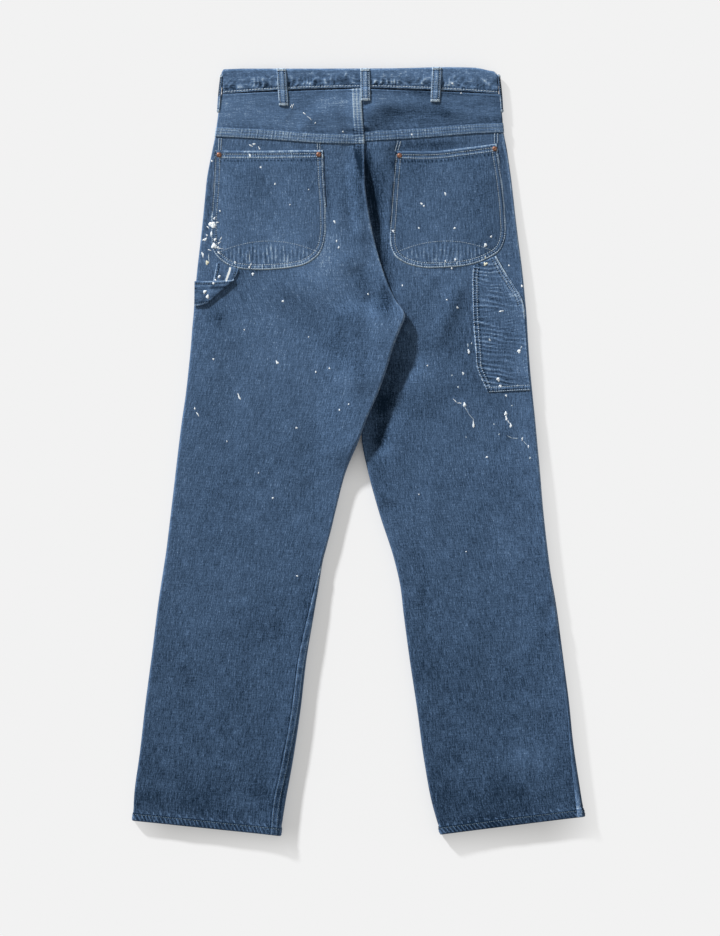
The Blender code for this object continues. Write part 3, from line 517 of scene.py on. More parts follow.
class Half:
    """One leg with its half of the seat: a flattened tube of two layers."""

    FOLD_POINTS = 15
    FLATNESS = 0.5           # how far a fold reaches out, as a share of half its height
    CENTRE = 0.0             # where its front panel ends at the centre front
    CENTRE_SIDE = 1          # 1 where its inner edge is on the left, -1 where it is on the right
    DIP = (0.0, 0.0)         # how far, and where, the yoke seam leaves a straight line
    # Painted shade added to the tone of the whole half, and of its yoke besides.
    PAINTED_SHADE = 0.0              # how much paler it is than the other half
    YOKE_FADED = 0.0         # and how much more its yoke is

    def __init__(self, yoke: tuple, front_top: tuple, leg: tuple, plump: tuple,
                 creases: tuple[Crease, ...], worn: tuple[WearAndShade, ...], seed: int) -> None:
        """Keep the sections, thicknesses and creases of this half.

        Args:
            yoke: Sections of the back above the yoke seam, from the waist down.
            front_top: Sections of the front beside them.
            leg: Sections of both from the yoke seam to the hem.
            plump: How thick it lies, by height.
            creases: Its large creases.
            worn: Its patches of fading and of painted shade and painted light.
            seed: Seed of its small unevenness.
        """
        self.rows = [(row[2], *row) for row in yoke + leg]
        self.front_rows = [(row[2], *row) for row in front_top + leg]
        self.yoke_foot = leg[0][2]
        self.foot = leg[-1][2]
        self.plump = plump
        self.creases = creases
        self.worn = worn
        self.rumple = Rumple(seed)

    def section(self, y_in: Array, front: bool = False) -> Section:
        """The sections that meet the inner edge at these heights."""
        rows = self.front_rows if front else self.rows
        dip = 0.0 if front else self.DIP[0] * bump(y_in, self.yoke_foot, 26.0)
        return Section(*(through(rows, y_in, c + 1) for c in range(6)), dip, self.DIP[1])

    def inner_edge(self, y: Array) -> Array:
        """Place of the inner edge."""
        return through(self.rows, y, 4)

    def thickness(self, x: Array, y: Array, row: Section) -> Array:
        """How thick the tube lies, thinner at its edges."""
        middle, outer, inner = (through(self.plump, y, c) for c in (1, 2, 3))
        at_out = np.exp(-np.abs(x - row.out) / mix(15.0, 34.0, smooth((120 - y) / 160)))
        at_inn = np.exp(-((x - row.inn) / 27) ** 2)
        return middle + (outer - middle) * at_out + (inner - middle) * at_inn

    def closure(self, x: Array, y: Array) -> Array:
        """Rise of the back over the fly and the lapped ends of the waistband."""
        return over_laps(x) * smooth((y - 440) / 50)

    def unevenness(self, x: Array, y: Array) -> Array:
        """Listed creases and small rumples."""
        total = sum(c.rise(x, y) for c in self.creases)
        total = total + 0.34 * self.rumple.at(x, y, 31, 58) + 0.16 * self.rumple.at(y, x, 23, 14)
        return total + 0.05 * self.rumple.at(x + 9, y, 7.5, 11)

    def tone(self, x: Array, y: Array) -> Array:
        """How pale the cloth is, by height and by patches, some of them painted shade and painted
        light.
        """
        # The patches fade the cloth in places, and paint shade and light on it in others.
        faded = sum(w.tone(x, y) for w in self.worn)
        faded = faded * (1.35 + 0.6 * self.rumple.at(x + 11, y, 13, 24))
        clouds = 0.025 * self.rumple.at(x, y + 60, 34, 60) + 0.015 * self.rumple.at(x, y, 11, 30)
        return through(FADE, y, 1) + self.PAINTED_SHADE + faded + clouds

    def top(self, x: Array, y: Array, row: Section) -> Array:
        """Height of the upper layer's outer face."""
        return lift(y) + self.thickness(x, y, row) + self.closure(x, y) + self.unevenness(x, y)

    def under(self, x: Array, y: Array, front: bool) -> Array:
        """Height of the lower layer's outer face."""
        return lift(y) + 0 * x

    def layer(self, y_in: Array, upper: bool, count: int) -> Cloth:
        """The outer face of one layer, from one seam to the other.

        Args:
            y_in: Heights of the rows at the inner edge.
            upper: True for the back panel, False for the front panel.
            count: Stations between the folds.

        Returns:
            The layer's grid.
        """
        row = self.section(y_in[:, None], not upper)
        seams = [row.out_seam, row.in_seam]
        if not upper:
            centre = -np.abs(row.inn - self.CENTRE)
            above = y_in[:, None] > CROTCH_Y
            seams = [seams[0] - SEAM_GAP, np.where(above, centre, seams[1] - SEAM_GAP)]
        edges = [row.out, row.inn]
        if self.CENTRE_SIDE > 0:
            edges, seams = edges[::-1], seams[::-1]
        sign = 1.0 if upper else -1.0
        t = np.linspace(0, 1, self.FOLD_POINTS)[None, :]
        xs, zs = [], []
        for edge, way, seam in zip(edges, (1.0, -1.0), seams):
            radius = np.full_like(edge, 3.0)
            for _ in range(4):
                x = edge + way * radius * self.FLATNESS
                high = self.top(x, row.height(x), row)
                low = self.under(x, row.height(x), not upper)
                radius = np.maximum((high - low) / 2, 0.8)
            quarter = radius * math.pi / 2
            reach = radius * self.FLATNESS
            beyond = quarter + np.abs(seam) - reach
            start = np.where(np.abs(seam) <= reach, seam / reach * quarter,
                             np.sign(seam) * beyond)
            stop = sign * np.maximum(quarter + 2, sign * start + 2)
            s = start + (stop - start) * t
            flat = np.abs(s) > quarter
            turn = np.clip(s / radius, -math.pi / 2, math.pi / 2)
            x = edge + way * np.where(flat, reach + np.abs(s) - quarter,
                                      reach * (1 - np.cos(turn)))
            y = row.height(x)
            level = np.where(s > 0, self.top(x, y, row), self.under(x, y, not upper))
            z = np.where(flat, level, (high + low) / 2 + radius * np.sin(turn))
            xs.append(x)
            zs.append(z)
        inside = (np.arange(count)[None, :] + 1) / (count + 1)
        x = mix(xs[0][:, -1:], xs[1][:, -1:], inside)
        y = row.height(x)
        z = self.top(x, y, row) if upper else self.under(x, y, True)
        x = np.hstack([xs[0], x, xs[1][:, ::-1]])
        return woven(x, row.height(x), np.hstack([zs[0], z, zs[1][:, ::-1]]), sign)


class RightHalf(Half):
    """The wearer's right half, which lies under the left one along the seat seam."""

    CENTRE = 5.4
    DIP = (2.4, 167.0)
    # This half is darker by painted shade, its yoke most of all.
    PAINTED_SHADE = -0.035
    YOKE_FADED = -0.15
    HOLLOWS = creases(       # where it sinks beside the left half's edge
        (8, 408, 18, 345, 31, 284, -5.2, 12), (27, 300, 40, 262, 58, 220, -2.2, 9),
        (66, 186, 54, 92, 14, -14, -4.6, 19))

    def lap_place(self, y: Array) -> Array:
        """Where this half starts, under the left one."""
        return through(self.rows, y, 4) + np.maximum(through(self.rows, y, 6), 0)

    def top(self, x: Array, y: Array, row: Section) -> Array:
        """Height of the upper layer's outer face."""
        beside_seam = smooth((x - self.lap_place(y) - 0.5) / 4) * bump(x, 17, 14)
        swell = 2.1 * beside_seam * smooth((y - 440) / 20)
        return super().top(x, y, row) + swell + sum(c.rise(x, y) for c in self.HOLLOWS)

    def over(self, x: Array, y: Array) -> Array:
        """Height of whatever lies on this half."""
        x = np.maximum(x, self.lap_place(y))
        return super().top(x, y, self.section(y)) + CLEAR


class LeftHalf(Half):
    """The wearer's left half, which laps over the right one."""

    CENTRE = 4.2
    CENTRE_SIDE = -1
    DIP = (-2.6, -54.0)

    def __init__(self, other: RightHalf, *args: object) -> None:
        """Keep the half that this one lies on."""
        super().__init__(*args)
        self.other = other

    def lapped(self, x: Array, y: Array, ramp: Number) -> Array:
        """How much of the rise onto the right half is done."""
        place = self.other.lap_place(y)
        return smooth((x - place + ramp) / ramp) * smooth((y + 40) / 54)

    def top(self, x: Array, y: Array, row: Section) -> Array:
        """Height of the upper layer's outer face."""
        alone = lift(y) + self.thickness(x, y, row) + self.closure(x, y)
        over = self.other.over(x, y) + through(self.plump, y, 3)
        ramp = mix(70.0, 20.0, smooth((y - 232) / 60))
        return mix(alone, over, self.lapped(x, y, ramp)) + self.unevenness(x, y)

    def under(self, x: Array, y: Array, front: bool) -> Array:
        """Height of the lower layer's outer face; the front panel lies flat above the crotch."""
        low = mix(lift(y), self.other.over(x, y), self.lapped(x, y, 14.0))
        return mix(low, lift(y), smooth((y - CROTCH_Y) / 46)) if front else low


Vector3 = tuple[float, float, float]


class Maker:
    """Turns grids into named pieces of the trousers."""

    REACH = 0.2              # metres from the surface, where a search for cloth starts
    CUTS = 97                # how many different places of the cloth the pieces are cut from

    def __init__(self) -> None:
        """Start with no pieces."""
        self.made: dict[str, Object] = {}
        self.trees: dict[str, BVHTree] = {}

    def mesh(self, name: str, points: Array, faces: Array, finish: Material,
             replaces: Sequence[str] = (), slot: str = "") -> Object:
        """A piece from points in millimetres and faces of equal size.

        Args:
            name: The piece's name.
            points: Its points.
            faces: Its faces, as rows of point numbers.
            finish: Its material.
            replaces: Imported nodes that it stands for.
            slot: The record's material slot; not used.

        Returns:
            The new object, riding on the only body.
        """
        mesh = bpy.data.meshes.new(name)
        mesh.from_pydata((points.reshape(-1, 3) * MM).tolist(), [], faces.tolist())
        mesh.validate()
        mesh.shade_smooth()
        mesh.materials.append(finish)
        piece = bpy.data.objects.new(name, mesh)
        bpy.context.scene.collection.objects.link(piece)
        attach(piece, "root")
        if replaces:
            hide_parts(*replaces)
        self.made[name] = piece
        return piece

    def cloth(self, name: str, grid: Cloth, finish: Material, slot: str,
              wall: float = CLOTH_WALL, centred: bool = False,
              crosswise: bool = False) -> Object:
        """A shell of cloth in place of the node of its name, with its weave along the grid.

        Args:
            name: The piece's name.
            grid: Its outer face, or its middle.
            finish: Its material.
            slot: The record's material slot.
            wall: Its thickness.
            centred: Whether the grid is its middle.
            crosswise: Whether its warp runs across the grid.

        Returns:
            The new piece.
        """
        rows, stations = grid.points.shape[:2]
        n = np.arange(rows * stations).reshape(rows, stations)
        quads = np.stack([n[:-1, :-1], n[1:, :-1], n[1:, 1:], n[:-1, 1:]], axis=2).reshape(-1, 4)
        if grid.outward < 0:
            quads = quads[:, ::-1]
        piece = self.mesh(name + "_cloth", grid.points, quads, finish, (name,), slot)
        across, along = grid.run(1), grid.run(0)
        across = across - across[:, stations // 2][:, None]
        along = along[:, stations // 2][:, None] + 0 * across
        seed = np.full_like(across, float(sum(map(ord, name)) % self.CUTS))
        cut = [along, across, seed] if crosswise else [across, -along, seed]
        self.attribute(piece, "cut", np.stack(cut, axis=2))
        self.attribute(piece, "tone", grid.tone)
        self.attribute(piece, "sewn", grid.sewn)
        shell = piece.modifiers.new("wall", "SOLIDIFY")
        shell.thickness = wall * MM
        shell.offset = 0.0 if centred else -1.0
        self.trees[name] = self.tree(piece)
        return piece

    @staticmethod
    def attribute(piece: Object, name: str, values: Array) -> None:
        """Store one number or three for every point of a piece."""
        kind, key = ("FLOAT_VECTOR", "vector") if values.ndim == 3 else ("FLOAT", "value")
        made = piece.data.attributes.new(name, kind, "POINT")
        made.data.foreach_set(key, values.astype(np.float32).ravel())

    @staticmethod
    def tree(piece: Object) -> BVHTree:
        """A search tree of a piece's finished surface."""
        bpy.context.view_layer.update()
        return BVHTree.FromObject(piece, bpy.context.evaluated_depsgraph_get())

    def drop(self, x: Array, y: Array, onto: Iterable[str], way: float = -1.0,
             miss: float = 0.0) -> tuple[Array, Array]:
        """Where places meet the first of these pieces.

        Args:
            x: Places across.
            y: Places along.
            onto: Names of the pieces.
            way: -1 to come from above, 1 to come from below.
            miss: Height where there is nothing.

        Returns:
            Points on the pieces and their outward directions.
        """
        trees = [self.trees[name] for name in onto]
        shape = np.shape(x)
        points, normals = [], []
        for px, py in zip(np.ravel(x), np.ravel(y)):
            start = Vector((px * MM, py * MM, -self.REACH * way))
            hits = [hit for hit in (t.ray_cast(start, Vector((0, 0, way))) for t in trees)
                    if hit[0] is not None]
            if hits:
                place, normal, _, _ = min(hits, key=lambda hit: hit[3])
                points.append((px, py, place.z / MM))
                normals.append(tuple(normal if normal.z * way < 0 else -normal))
            else:
                points.append((px, py, miss))
                normals.append((0.0, 0.0, -way))
        return np.array(points).reshape(*shape, 3), np.array(normals).reshape(*shape, 3)


@dataclass(frozen=True)
class Thread:
    """How a row of stitches is sewn."""

    pitch: float = 3.1
    cover: float = 0.66      # share of each step that the thread shows for
    radius: float = 0.40
    rise: float = 0.3


class Sewing:
    """Gathers rows of stitches and makes one mesh of each group."""

    RINGS = 5
    SIDES = 5

    def __init__(self, maker: Maker, seed: int = 5) -> None:
        """Start with no stitches."""
        self.maker = maker
        self.random = np.random.default_rng(seed)
        self.points: list[Array] = []

    def row(self, points: Array, normals: Array, thread: Thread = Thread()) -> None:
        """Sew along a line that lies on the cloth.

        Args:
            points: The line's points.
            normals: Outward directions there.
            thread: How it is sewn.
        """
        run = np.concatenate([[0], np.cumsum(np.linalg.norm(np.diff(points, axis=0), axis=1))])
        count = int(run[-1] / thread.pitch)
        if count < 1:
            return
        middle = (np.arange(count) + 0.5) * run[-1] / count
        middle = middle + self.random.normal(0, 0.05 * thread.pitch, count)
        reach = thread.pitch * thread.cover / 2

        def at(values: Array, where: Array) -> Array:
            """Values of the line at arc lengths."""
            return np.column_stack([np.interp(where, run, values[:, k]) for k in range(3)])

        a, b = at(points, middle - reach), at(points, middle + reach)
        up = at(normals, middle)
        ahead = b - a
        ahead /= np.maximum(np.linalg.norm(ahead, axis=1, keepdims=True), 1e-9)
        side = np.cross(up, ahead)
        side /= np.maximum(np.linalg.norm(side, axis=1, keepdims=True), 1e-9)
        lean = self.random.normal(0, 0.09, (count, 1))
        t = np.linspace(0, 1, self.RINGS)
        size = thread.radius * np.sin(math.pi * (0.12 + 0.76 * t)) ** 0.6
        angle = np.arange(self.SIDES) * TURN / self.SIDES
        rings = []
        for share, r in zip(t, size):
            centre = mix(a, b, share) + up * thread.rise * math.sin(math.pi * share)
            centre = centre + side * lean * (share - 0.5) * 2 * reach
            for turn in angle:
                rings.append(centre + side * r * math.cos(turn) + up * r * math.sin(turn))
        self.points.append(np.stack(rings, axis=1))

    def along(self, line: Sequence[Sequence[float]], onto: Iterable[str],
              thread: Thread = Thread(), way: float = -1.0) -> None:
        """Sew along a line seen from above (way -1) or from below (way 1)."""
        fine = bent(line, 2.2)
        self.row(*self.maker.drop(fine[:, 0], fine[:, 1], onto, way), thread)

    def finish(self, name: str, finish: Material) -> Object:
        """Make one piece of every stitch gathered so far, and start again.

        Args:
            name: The piece's name.
            finish: Its material.

        Returns:
            The piece.
        """
        points = np.concatenate(self.points)
        self.points = []
        r, s = self.RINGS, self.SIDES
        ring, turn = np.meshgrid(np.arange(r - 1), np.arange(s), indexing="ij")
        a, b = ring * s + turn, ring * s + (turn + 1) % s
        quads = np.stack([a, b, b + s, a + s], axis=2).reshape(-1, 4)
        caps = np.array([[0, s - 1, s - 2, s - 3]])
        ends = np.vstack([caps, (r - 1) * s + caps[:, ::-1]])
        faces = np.vstack([quads, ends])
        start = np.arange(len(points))[:, None, None] * (r * s)
        return self.maker.mesh(name, points, (faces[None] + start).reshape(-1, 4), finish)


class Channel:
    """A number worked out inside a material, written as an expression."""

    def __init__(self, graph: "Graph", socket: Socket) -> None:
        """Wrap the socket that carries the number."""
        self.graph = graph
        self.socket = socket

    def apply(self, operation: str, *others: object) -> "Channel":
        """A Math node on this number and others."""
        return self.graph.math(operation, self, *others)

    def __add__(self, other: object) -> "Channel":
        """Sum."""
        return self.apply("ADD", other)

    __radd__ = __add__

    def __mul__(self, other: object) -> "Channel":
        """Product."""
        return self.apply("MULTIPLY", other)

    __rmul__ = __mul__

    def __sub__(self, other: object) -> "Channel":
        """Difference."""
        return self.apply("SUBTRACT", other)

    def __rsub__(self, other: object) -> "Channel":
        """Difference, the other way round."""
        return self.graph.math("SUBTRACT", other, self)

    def held(self, low: float = 0.0, high: float = 1.0) -> "Channel":
        """This number, kept between two limits."""
        return self.apply("MAXIMUM", low).apply("MINIMUM", high)

    def eased(self, low: float, high: float) -> "Channel":
        """0 below low, 1 above high, and a smooth step between."""
        node = self.graph.node("ShaderNodeMapRange", {"interpolation_type": "SMOOTHSTEP"},
                               {"Value": self, "From Min": low, "From Max": high})
        return Channel(self.graph, node.outputs["Result"])


class Graph:
    """The nodes of one material."""

    def __init__(self, name: str, **constants: object) -> None:
        """Start a material from its shader's own constants.

        Args:
            name: The material's name.
            constants: Values of the shader's sockets, with _ for each space.
        """
        self.material = bpy.data.materials.new(name)
        self.material.use_nodes = True
        self.nodes = self.material.node_tree.nodes
        self.links = self.material.node_tree.links
        self.shader = self.nodes["Principled BSDF"]
        for key, value in constants.items():
            self.shader.inputs[key.replace("_", " ")].default_value = value

    def node(self, kind: str, settings: dict[str, object] | None = None,
             values: dict[object, object] | None = None) -> Node:
        """Any node.

        Args:
            kind: The node's type.
            settings: Its own settings, set first.
            values: Values or links of its sockets, by name or number.

        Returns:
            The node.
        """
        made = self.nodes.new(kind)
        for key, value in (settings or {}).items():
            setattr(made, key, value)
        for key, value in (values or {}).items():
            self.feed(made.inputs[key], value)
        return made

    def feed(self, socket: Socket, value: object) -> None:
        """Give a socket a link or a plain value.

        Args:
            socket: The socket.
            value: A channel, a socket or a plain value.
        """
        if isinstance(value, Channel):
            value = value.socket
        if isinstance(value, Socket):
            self.links.new(value, socket)
        else:
            socket.default_value = value

    def math(self, operation: str, *values: object) -> Channel:
        """A Math node."""
        node = self.node("ShaderNodeMath", {"operation": operation}, dict(enumerate(values)))
        return Channel(self, node.outputs[0])

    def stored(self, name: str) -> Node:
        """A value kept on the mesh."""
        return self.node("ShaderNodeAttribute", {"attribute_name": name})

    def stretched(self, vector: Socket, scale: Vector3, turn: float = 0.0) -> Socket:
        """A vector scaled along each axis, and turned about the third."""
        node = self.node("ShaderNodeMapping", {}, {
            "Vector": vector, "Scale": scale, "Rotation": (0.0, 0.0, turn)})
        return node.outputs["Vector"]

    def noise(self, vector: Socket, scale: Vector3, detail: float = 2.0,
              roughness: float = 0.5) -> Channel:
        """Noise around 0, on a vector scaled along each axis."""
        node = self.node("ShaderNodeTexNoise", {}, {
            "Vector": self.stretched(vector, scale), "Scale": 1.0, "Detail": detail,
            "Roughness": roughness})
        return Channel(self, node.outputs["Fac"]) - 0.5

    def place(self) -> Socket:
        """Where the shaded point lies, in the piece's own measures."""
        return self.node("ShaderNodeTexCoord").outputs["Object"]

    def mottle(self, scale: float, spread: float, middle: float, low: Vector3,
               high: Vector3) -> tuple[Channel, Channel]:
        """Colour the shader in patches between two colours.

        Args:
            scale: How many patches fit in a metre.
            spread: How strongly they differ.
            middle: How near they come to the second colour.
            low: The first colour.
            high: The second one.

        Returns:
            The noise behind the patches, and the share of the second colour.
        """
        noise = self.noise(self.place(), (scale, scale, scale), 3.0, 0.6)
        mixed = (noise * spread + middle).held()
        self.feed(self.shader.inputs["Base Color"], self.tint(mixed, low, high))
        return noise, mixed

    def tint(self, factor: Channel, low: Vector3, high: Vector3) -> Socket:
        """A colour between two."""
        return self.blend(factor, (*low, 1.0), (*high, 1.0))

    def blend(self, factor: object, low: object, high: object) -> Socket:
        """A Mix of two colours."""
        node = self.node("ShaderNodeMix", {"data_type": "RGBA"}, {0: factor, 6: low, 7: high})
        return node.outputs[2]

    def bump(self, height: Channel, distance: float, strength: float = 1.0) -> None:
        """Relief for the shader, as a height in millimetres."""
        node = self.node("ShaderNodeBump", {}, {
            "Height": height, "Distance": distance * MM, "Strength": strength})
        self.feed(self.shader.inputs["Normal"], node.outputs["Normal"])


@dataclass(frozen=True)
class Denim:
    """Indigo twill, worn: streaked warp, pale weft, and fading where it rubs."""

    name: str
    level: float = 0.40      # how pale it is on the whole
    contrast: float = 1.0    # how strong its streaks are
    flecked: float = 0.15    # how much bare weft shows in flecks
    dark: Vector3 = (0.001, 0.012, 0.031)
    light: Vector3 = (0.128, 0.224, 0.390)
    bare: Vector3 = (0.40, 0.50, 0.58)
    selvedge: Vector3 = (0.78, 0.79, 0.76)
    pitch: float = 3.6       # from one stitch hole to the next

    def material(self) -> Material:
        """The finish as a material.

        Returns:
            The material.
        """
        g = Graph(self.name, Roughness=0.9, Sheen_Weight=0.06, Sheen_Roughness=0.5,
                  Specular_IOR_Level=0.15)
        cut = g.stored("cut").outputs["Vector"]
        tone = Channel(g, g.stored("tone").outputs["Fac"])
        warp = g.noise(cut, (0.66, 0.060, 1.0), 3.0, 0.62)
        fine = g.noise(cut, (1.3, 0.26, 1.0), 2.0, 0.6)
        weft = g.noise(cut, (0.06, 0.75, 1.0), 2.0, 0.55)
        speck = g.noise(cut, (0.85, 0.55, 2.0), 2.0, 0.7)
        patch = g.noise(cut, (0.05, 0.025, 3.0), 3.0, 0.6)
        broad = g.noise(cut, (0.014, 0.010, 5.0), 2.0, 0.5)
        fleck = g.noise(cut, (0.60, 0.20, 7.0), 1.0, 0.5).eased(0.14, 0.26)
        weave = warp * 2.0 + fine * 1.9 + weft * 0.8 + speck * 1.7 + patch * 0.4 + broad * 0.35
        sewn = g.node("ShaderNodeSeparateXYZ", {}, {0: g.stored("sewn").outputs["Vector"]}).outputs
        stray = g.noise(cut, (0.17, 0.17, 3.0), 3.0) * 8.0
        beat = (Channel(g, sewn["X"]) * (TURN / self.pitch) + stray).apply("SINE")
        dent = beat.eased(-0.3, 0.6) * 1.7 - 0.6
        level = tone + self.level - dent * Channel(g, sewn["Y"])
        weave = weave * (weave.held(-1.0, 1.0) * 0.32 + 1.0) - 0.03
        shade = level + weave * (level * 0.15 + 0.48) * self.contrast + fleck * self.flecked
        blue = g.tint(shade.held(), self.dark, self.light)
        pale = g.blend(shade.eased(0.68, 1.3), blue, (*self.bare, 1.0))
        g.feed(g.shader.inputs["Base Color"],
               g.blend(shade.eased(1.5, 2.1), pale, (*self.selvedge, 1.0)))
        twill = g.node("ShaderNodeTexWave", {"wave_profile": "SIN", "bands_direction": "X"}, {
            "Vector": g.stretched(cut, (1.0, 1.0, 0.0), 0.86), "Scale": 0.36,
            "Distortion": 0.6, "Detail": 1.0, "Detail Scale": 0.4})
        rib = Channel(g, twill.outputs["Fac"])
        dents = dent * Channel(g, sewn["Y"]) * 1.2
        g.bump(rib * 0.10 + warp * 0.22 + speck * 0.25 + fine * 0.14 - dents, 0.55, 0.55)
        return g.material


@dataclass(frozen=True)
class Cotton:
    """Sewing thread, a little faded and uneven along the row."""

    name: str
    dark: Vector3 = (0.20, 0.29, 0.38)
    light: Vector3 = (0.56, 0.66, 0.74)

    def material(self) -> Material:
        """The finish as a material."""
        g = Graph(self.name, Roughness=0.75, Sheen_Weight=0.1)
        g.mottle(260, 1.9, 0.66, self.dark, self.light)
        g.bump(g.noise(g.place(), (2600, 2600, 2600), 1.0), 0.12, 0.6)
        return g.material


@dataclass(frozen=True)
class DriedPaint:
    """Dried house paint, matt and slightly chalky."""

    name: str
    colour: Vector3 = (0.88, 0.92, 0.94)
    thin: Vector3 = (0.46, 0.57, 0.66)

    def material(self) -> Material:
        """The finish as a material."""
        g = Graph(self.name, Roughness=0.6)
        crust, _ = g.mottle(420, 1.6, 0.78, self.thin, self.colour)
        g.bump(crust, 0.4, 0.6)
        return g.material


@dataclass(frozen=True)
class OldMetal:
    """Handled copper or brass, dull in its hollows."""

    name: str
    colour: Vector3 = (0.40, 0.20, 0.13)
    dull: Vector3 = (0.10, 0.05, 0.04)

    def material(self) -> Material:
        """The finish as a material."""
        g = Graph(self.name, Metallic=0.8)
        worn, bright = g.mottle(500, 1.8, 0.55, self.dull, self.colour)
        g.feed(g.shader.inputs["Roughness"], 0.62 - bright * 0.25)
        g.bump(worn, 0.1, 0.5)
        return g.material


@dataclass(frozen=True)
class PaleFloor:
    """The pale surface that the trousers lie on; it keeps their shadow."""

    name: str = "pale_floor"
    colour: Vector3 = (0.888, 0.888, 0.888)
    glow: float = 0.36       # share of the floor's own light, which keeps its shadows pale
    glow_beside: float = 0.84    # what it is at the sides
    glow_below: float = 0.46     # and below the hems

    def material(self) -> Material:
        """The finish as a material.

        Returns:
            The material.
        """
        g = Graph(self.name, Roughness=1.0, Specular_IOR_Level=0.0)
        place = g.place()
        grain = g.noise(place, (3.0, 3.0, 3.0), 1.0) * 0.02 + 0.5
        low = tuple(0.995 * c for c in self.colour)
        g.feed(g.shader.inputs["Base Color"], g.tint(grain, low, self.colour))
        path = g.node("ShaderNodeLightPath").outputs
        camera, glossy, through_glass = (Channel(g, path[f"Is {kind} Ray"])
                                         for kind in ("Camera", "Glossy", "Transmission"))
        seen = (camera + glossy + through_glass).held()
        # Painted light: the floor's glow pales the trousers' shadow most beside the legs and below
        # the hems, and fades out towards the crotch.
        axes = g.node("ShaderNodeSeparateXYZ", {}, {0: place}).outputs
        beyond = Channel(g, axes["X"]).apply("ABSOLUTE") + Channel(g, axes["Y"]) * 0.117
        below = Channel(g, axes["Y"]) * -1.0
        beside = beyond.eased(0.19, 0.29)
        glow = beside * self.glow_beside + (1.0 - beside) * below.eased(-0.014, 0.054) * self.glow
        glow = (glow + below.eased(0.52, 0.585) * self.glow_below).held(0.0, 0.9)
        light = g.node("ShaderNodeEmission", {}, {"Color": (*self.colour, 1.0)})
        both = g.node("ShaderNodeMixShader", {}, {
            0: seen * glow, 1: g.shader.outputs["BSDF"], 2: light.outputs["Emission"]})
        g.feed(g.nodes["Material Output"].inputs["Surface"], both.outputs["Shader"])
        return g.material


@dataclass(frozen=True)
class Finishes:
    """Every material of the trousers."""

    cloth: Material
    pocket: Material
    band: Material
    inside: Material
    thread: Material
    faded: Material
    white: Material
    cream: Material
    thin: Material
    copper: Material
    brass: Material


@dataclass
class Part:
    """Something sewn on or fastened to the trousers, and what it is made with."""

    maker: Maker
    sewing: Sewing
    look: Finishes

    def rows_beside(self, line: Array, distances: Sequence[float], spare: int,
                    onto: Iterable[str], thread: Thread = Thread()) -> None:
        """Sew rows to the left of a line.

        Args:
            line: The line's points.
            distances: How far each row is from it.
            spare: How many points stay unsewn at each end.
            onto: Names of the pieces to sew on.
            thread: How they are sewn.
        """
        for distance in distances:
            self.sewing.along(beside(line, distance)[spare:-spare], onto, thread)


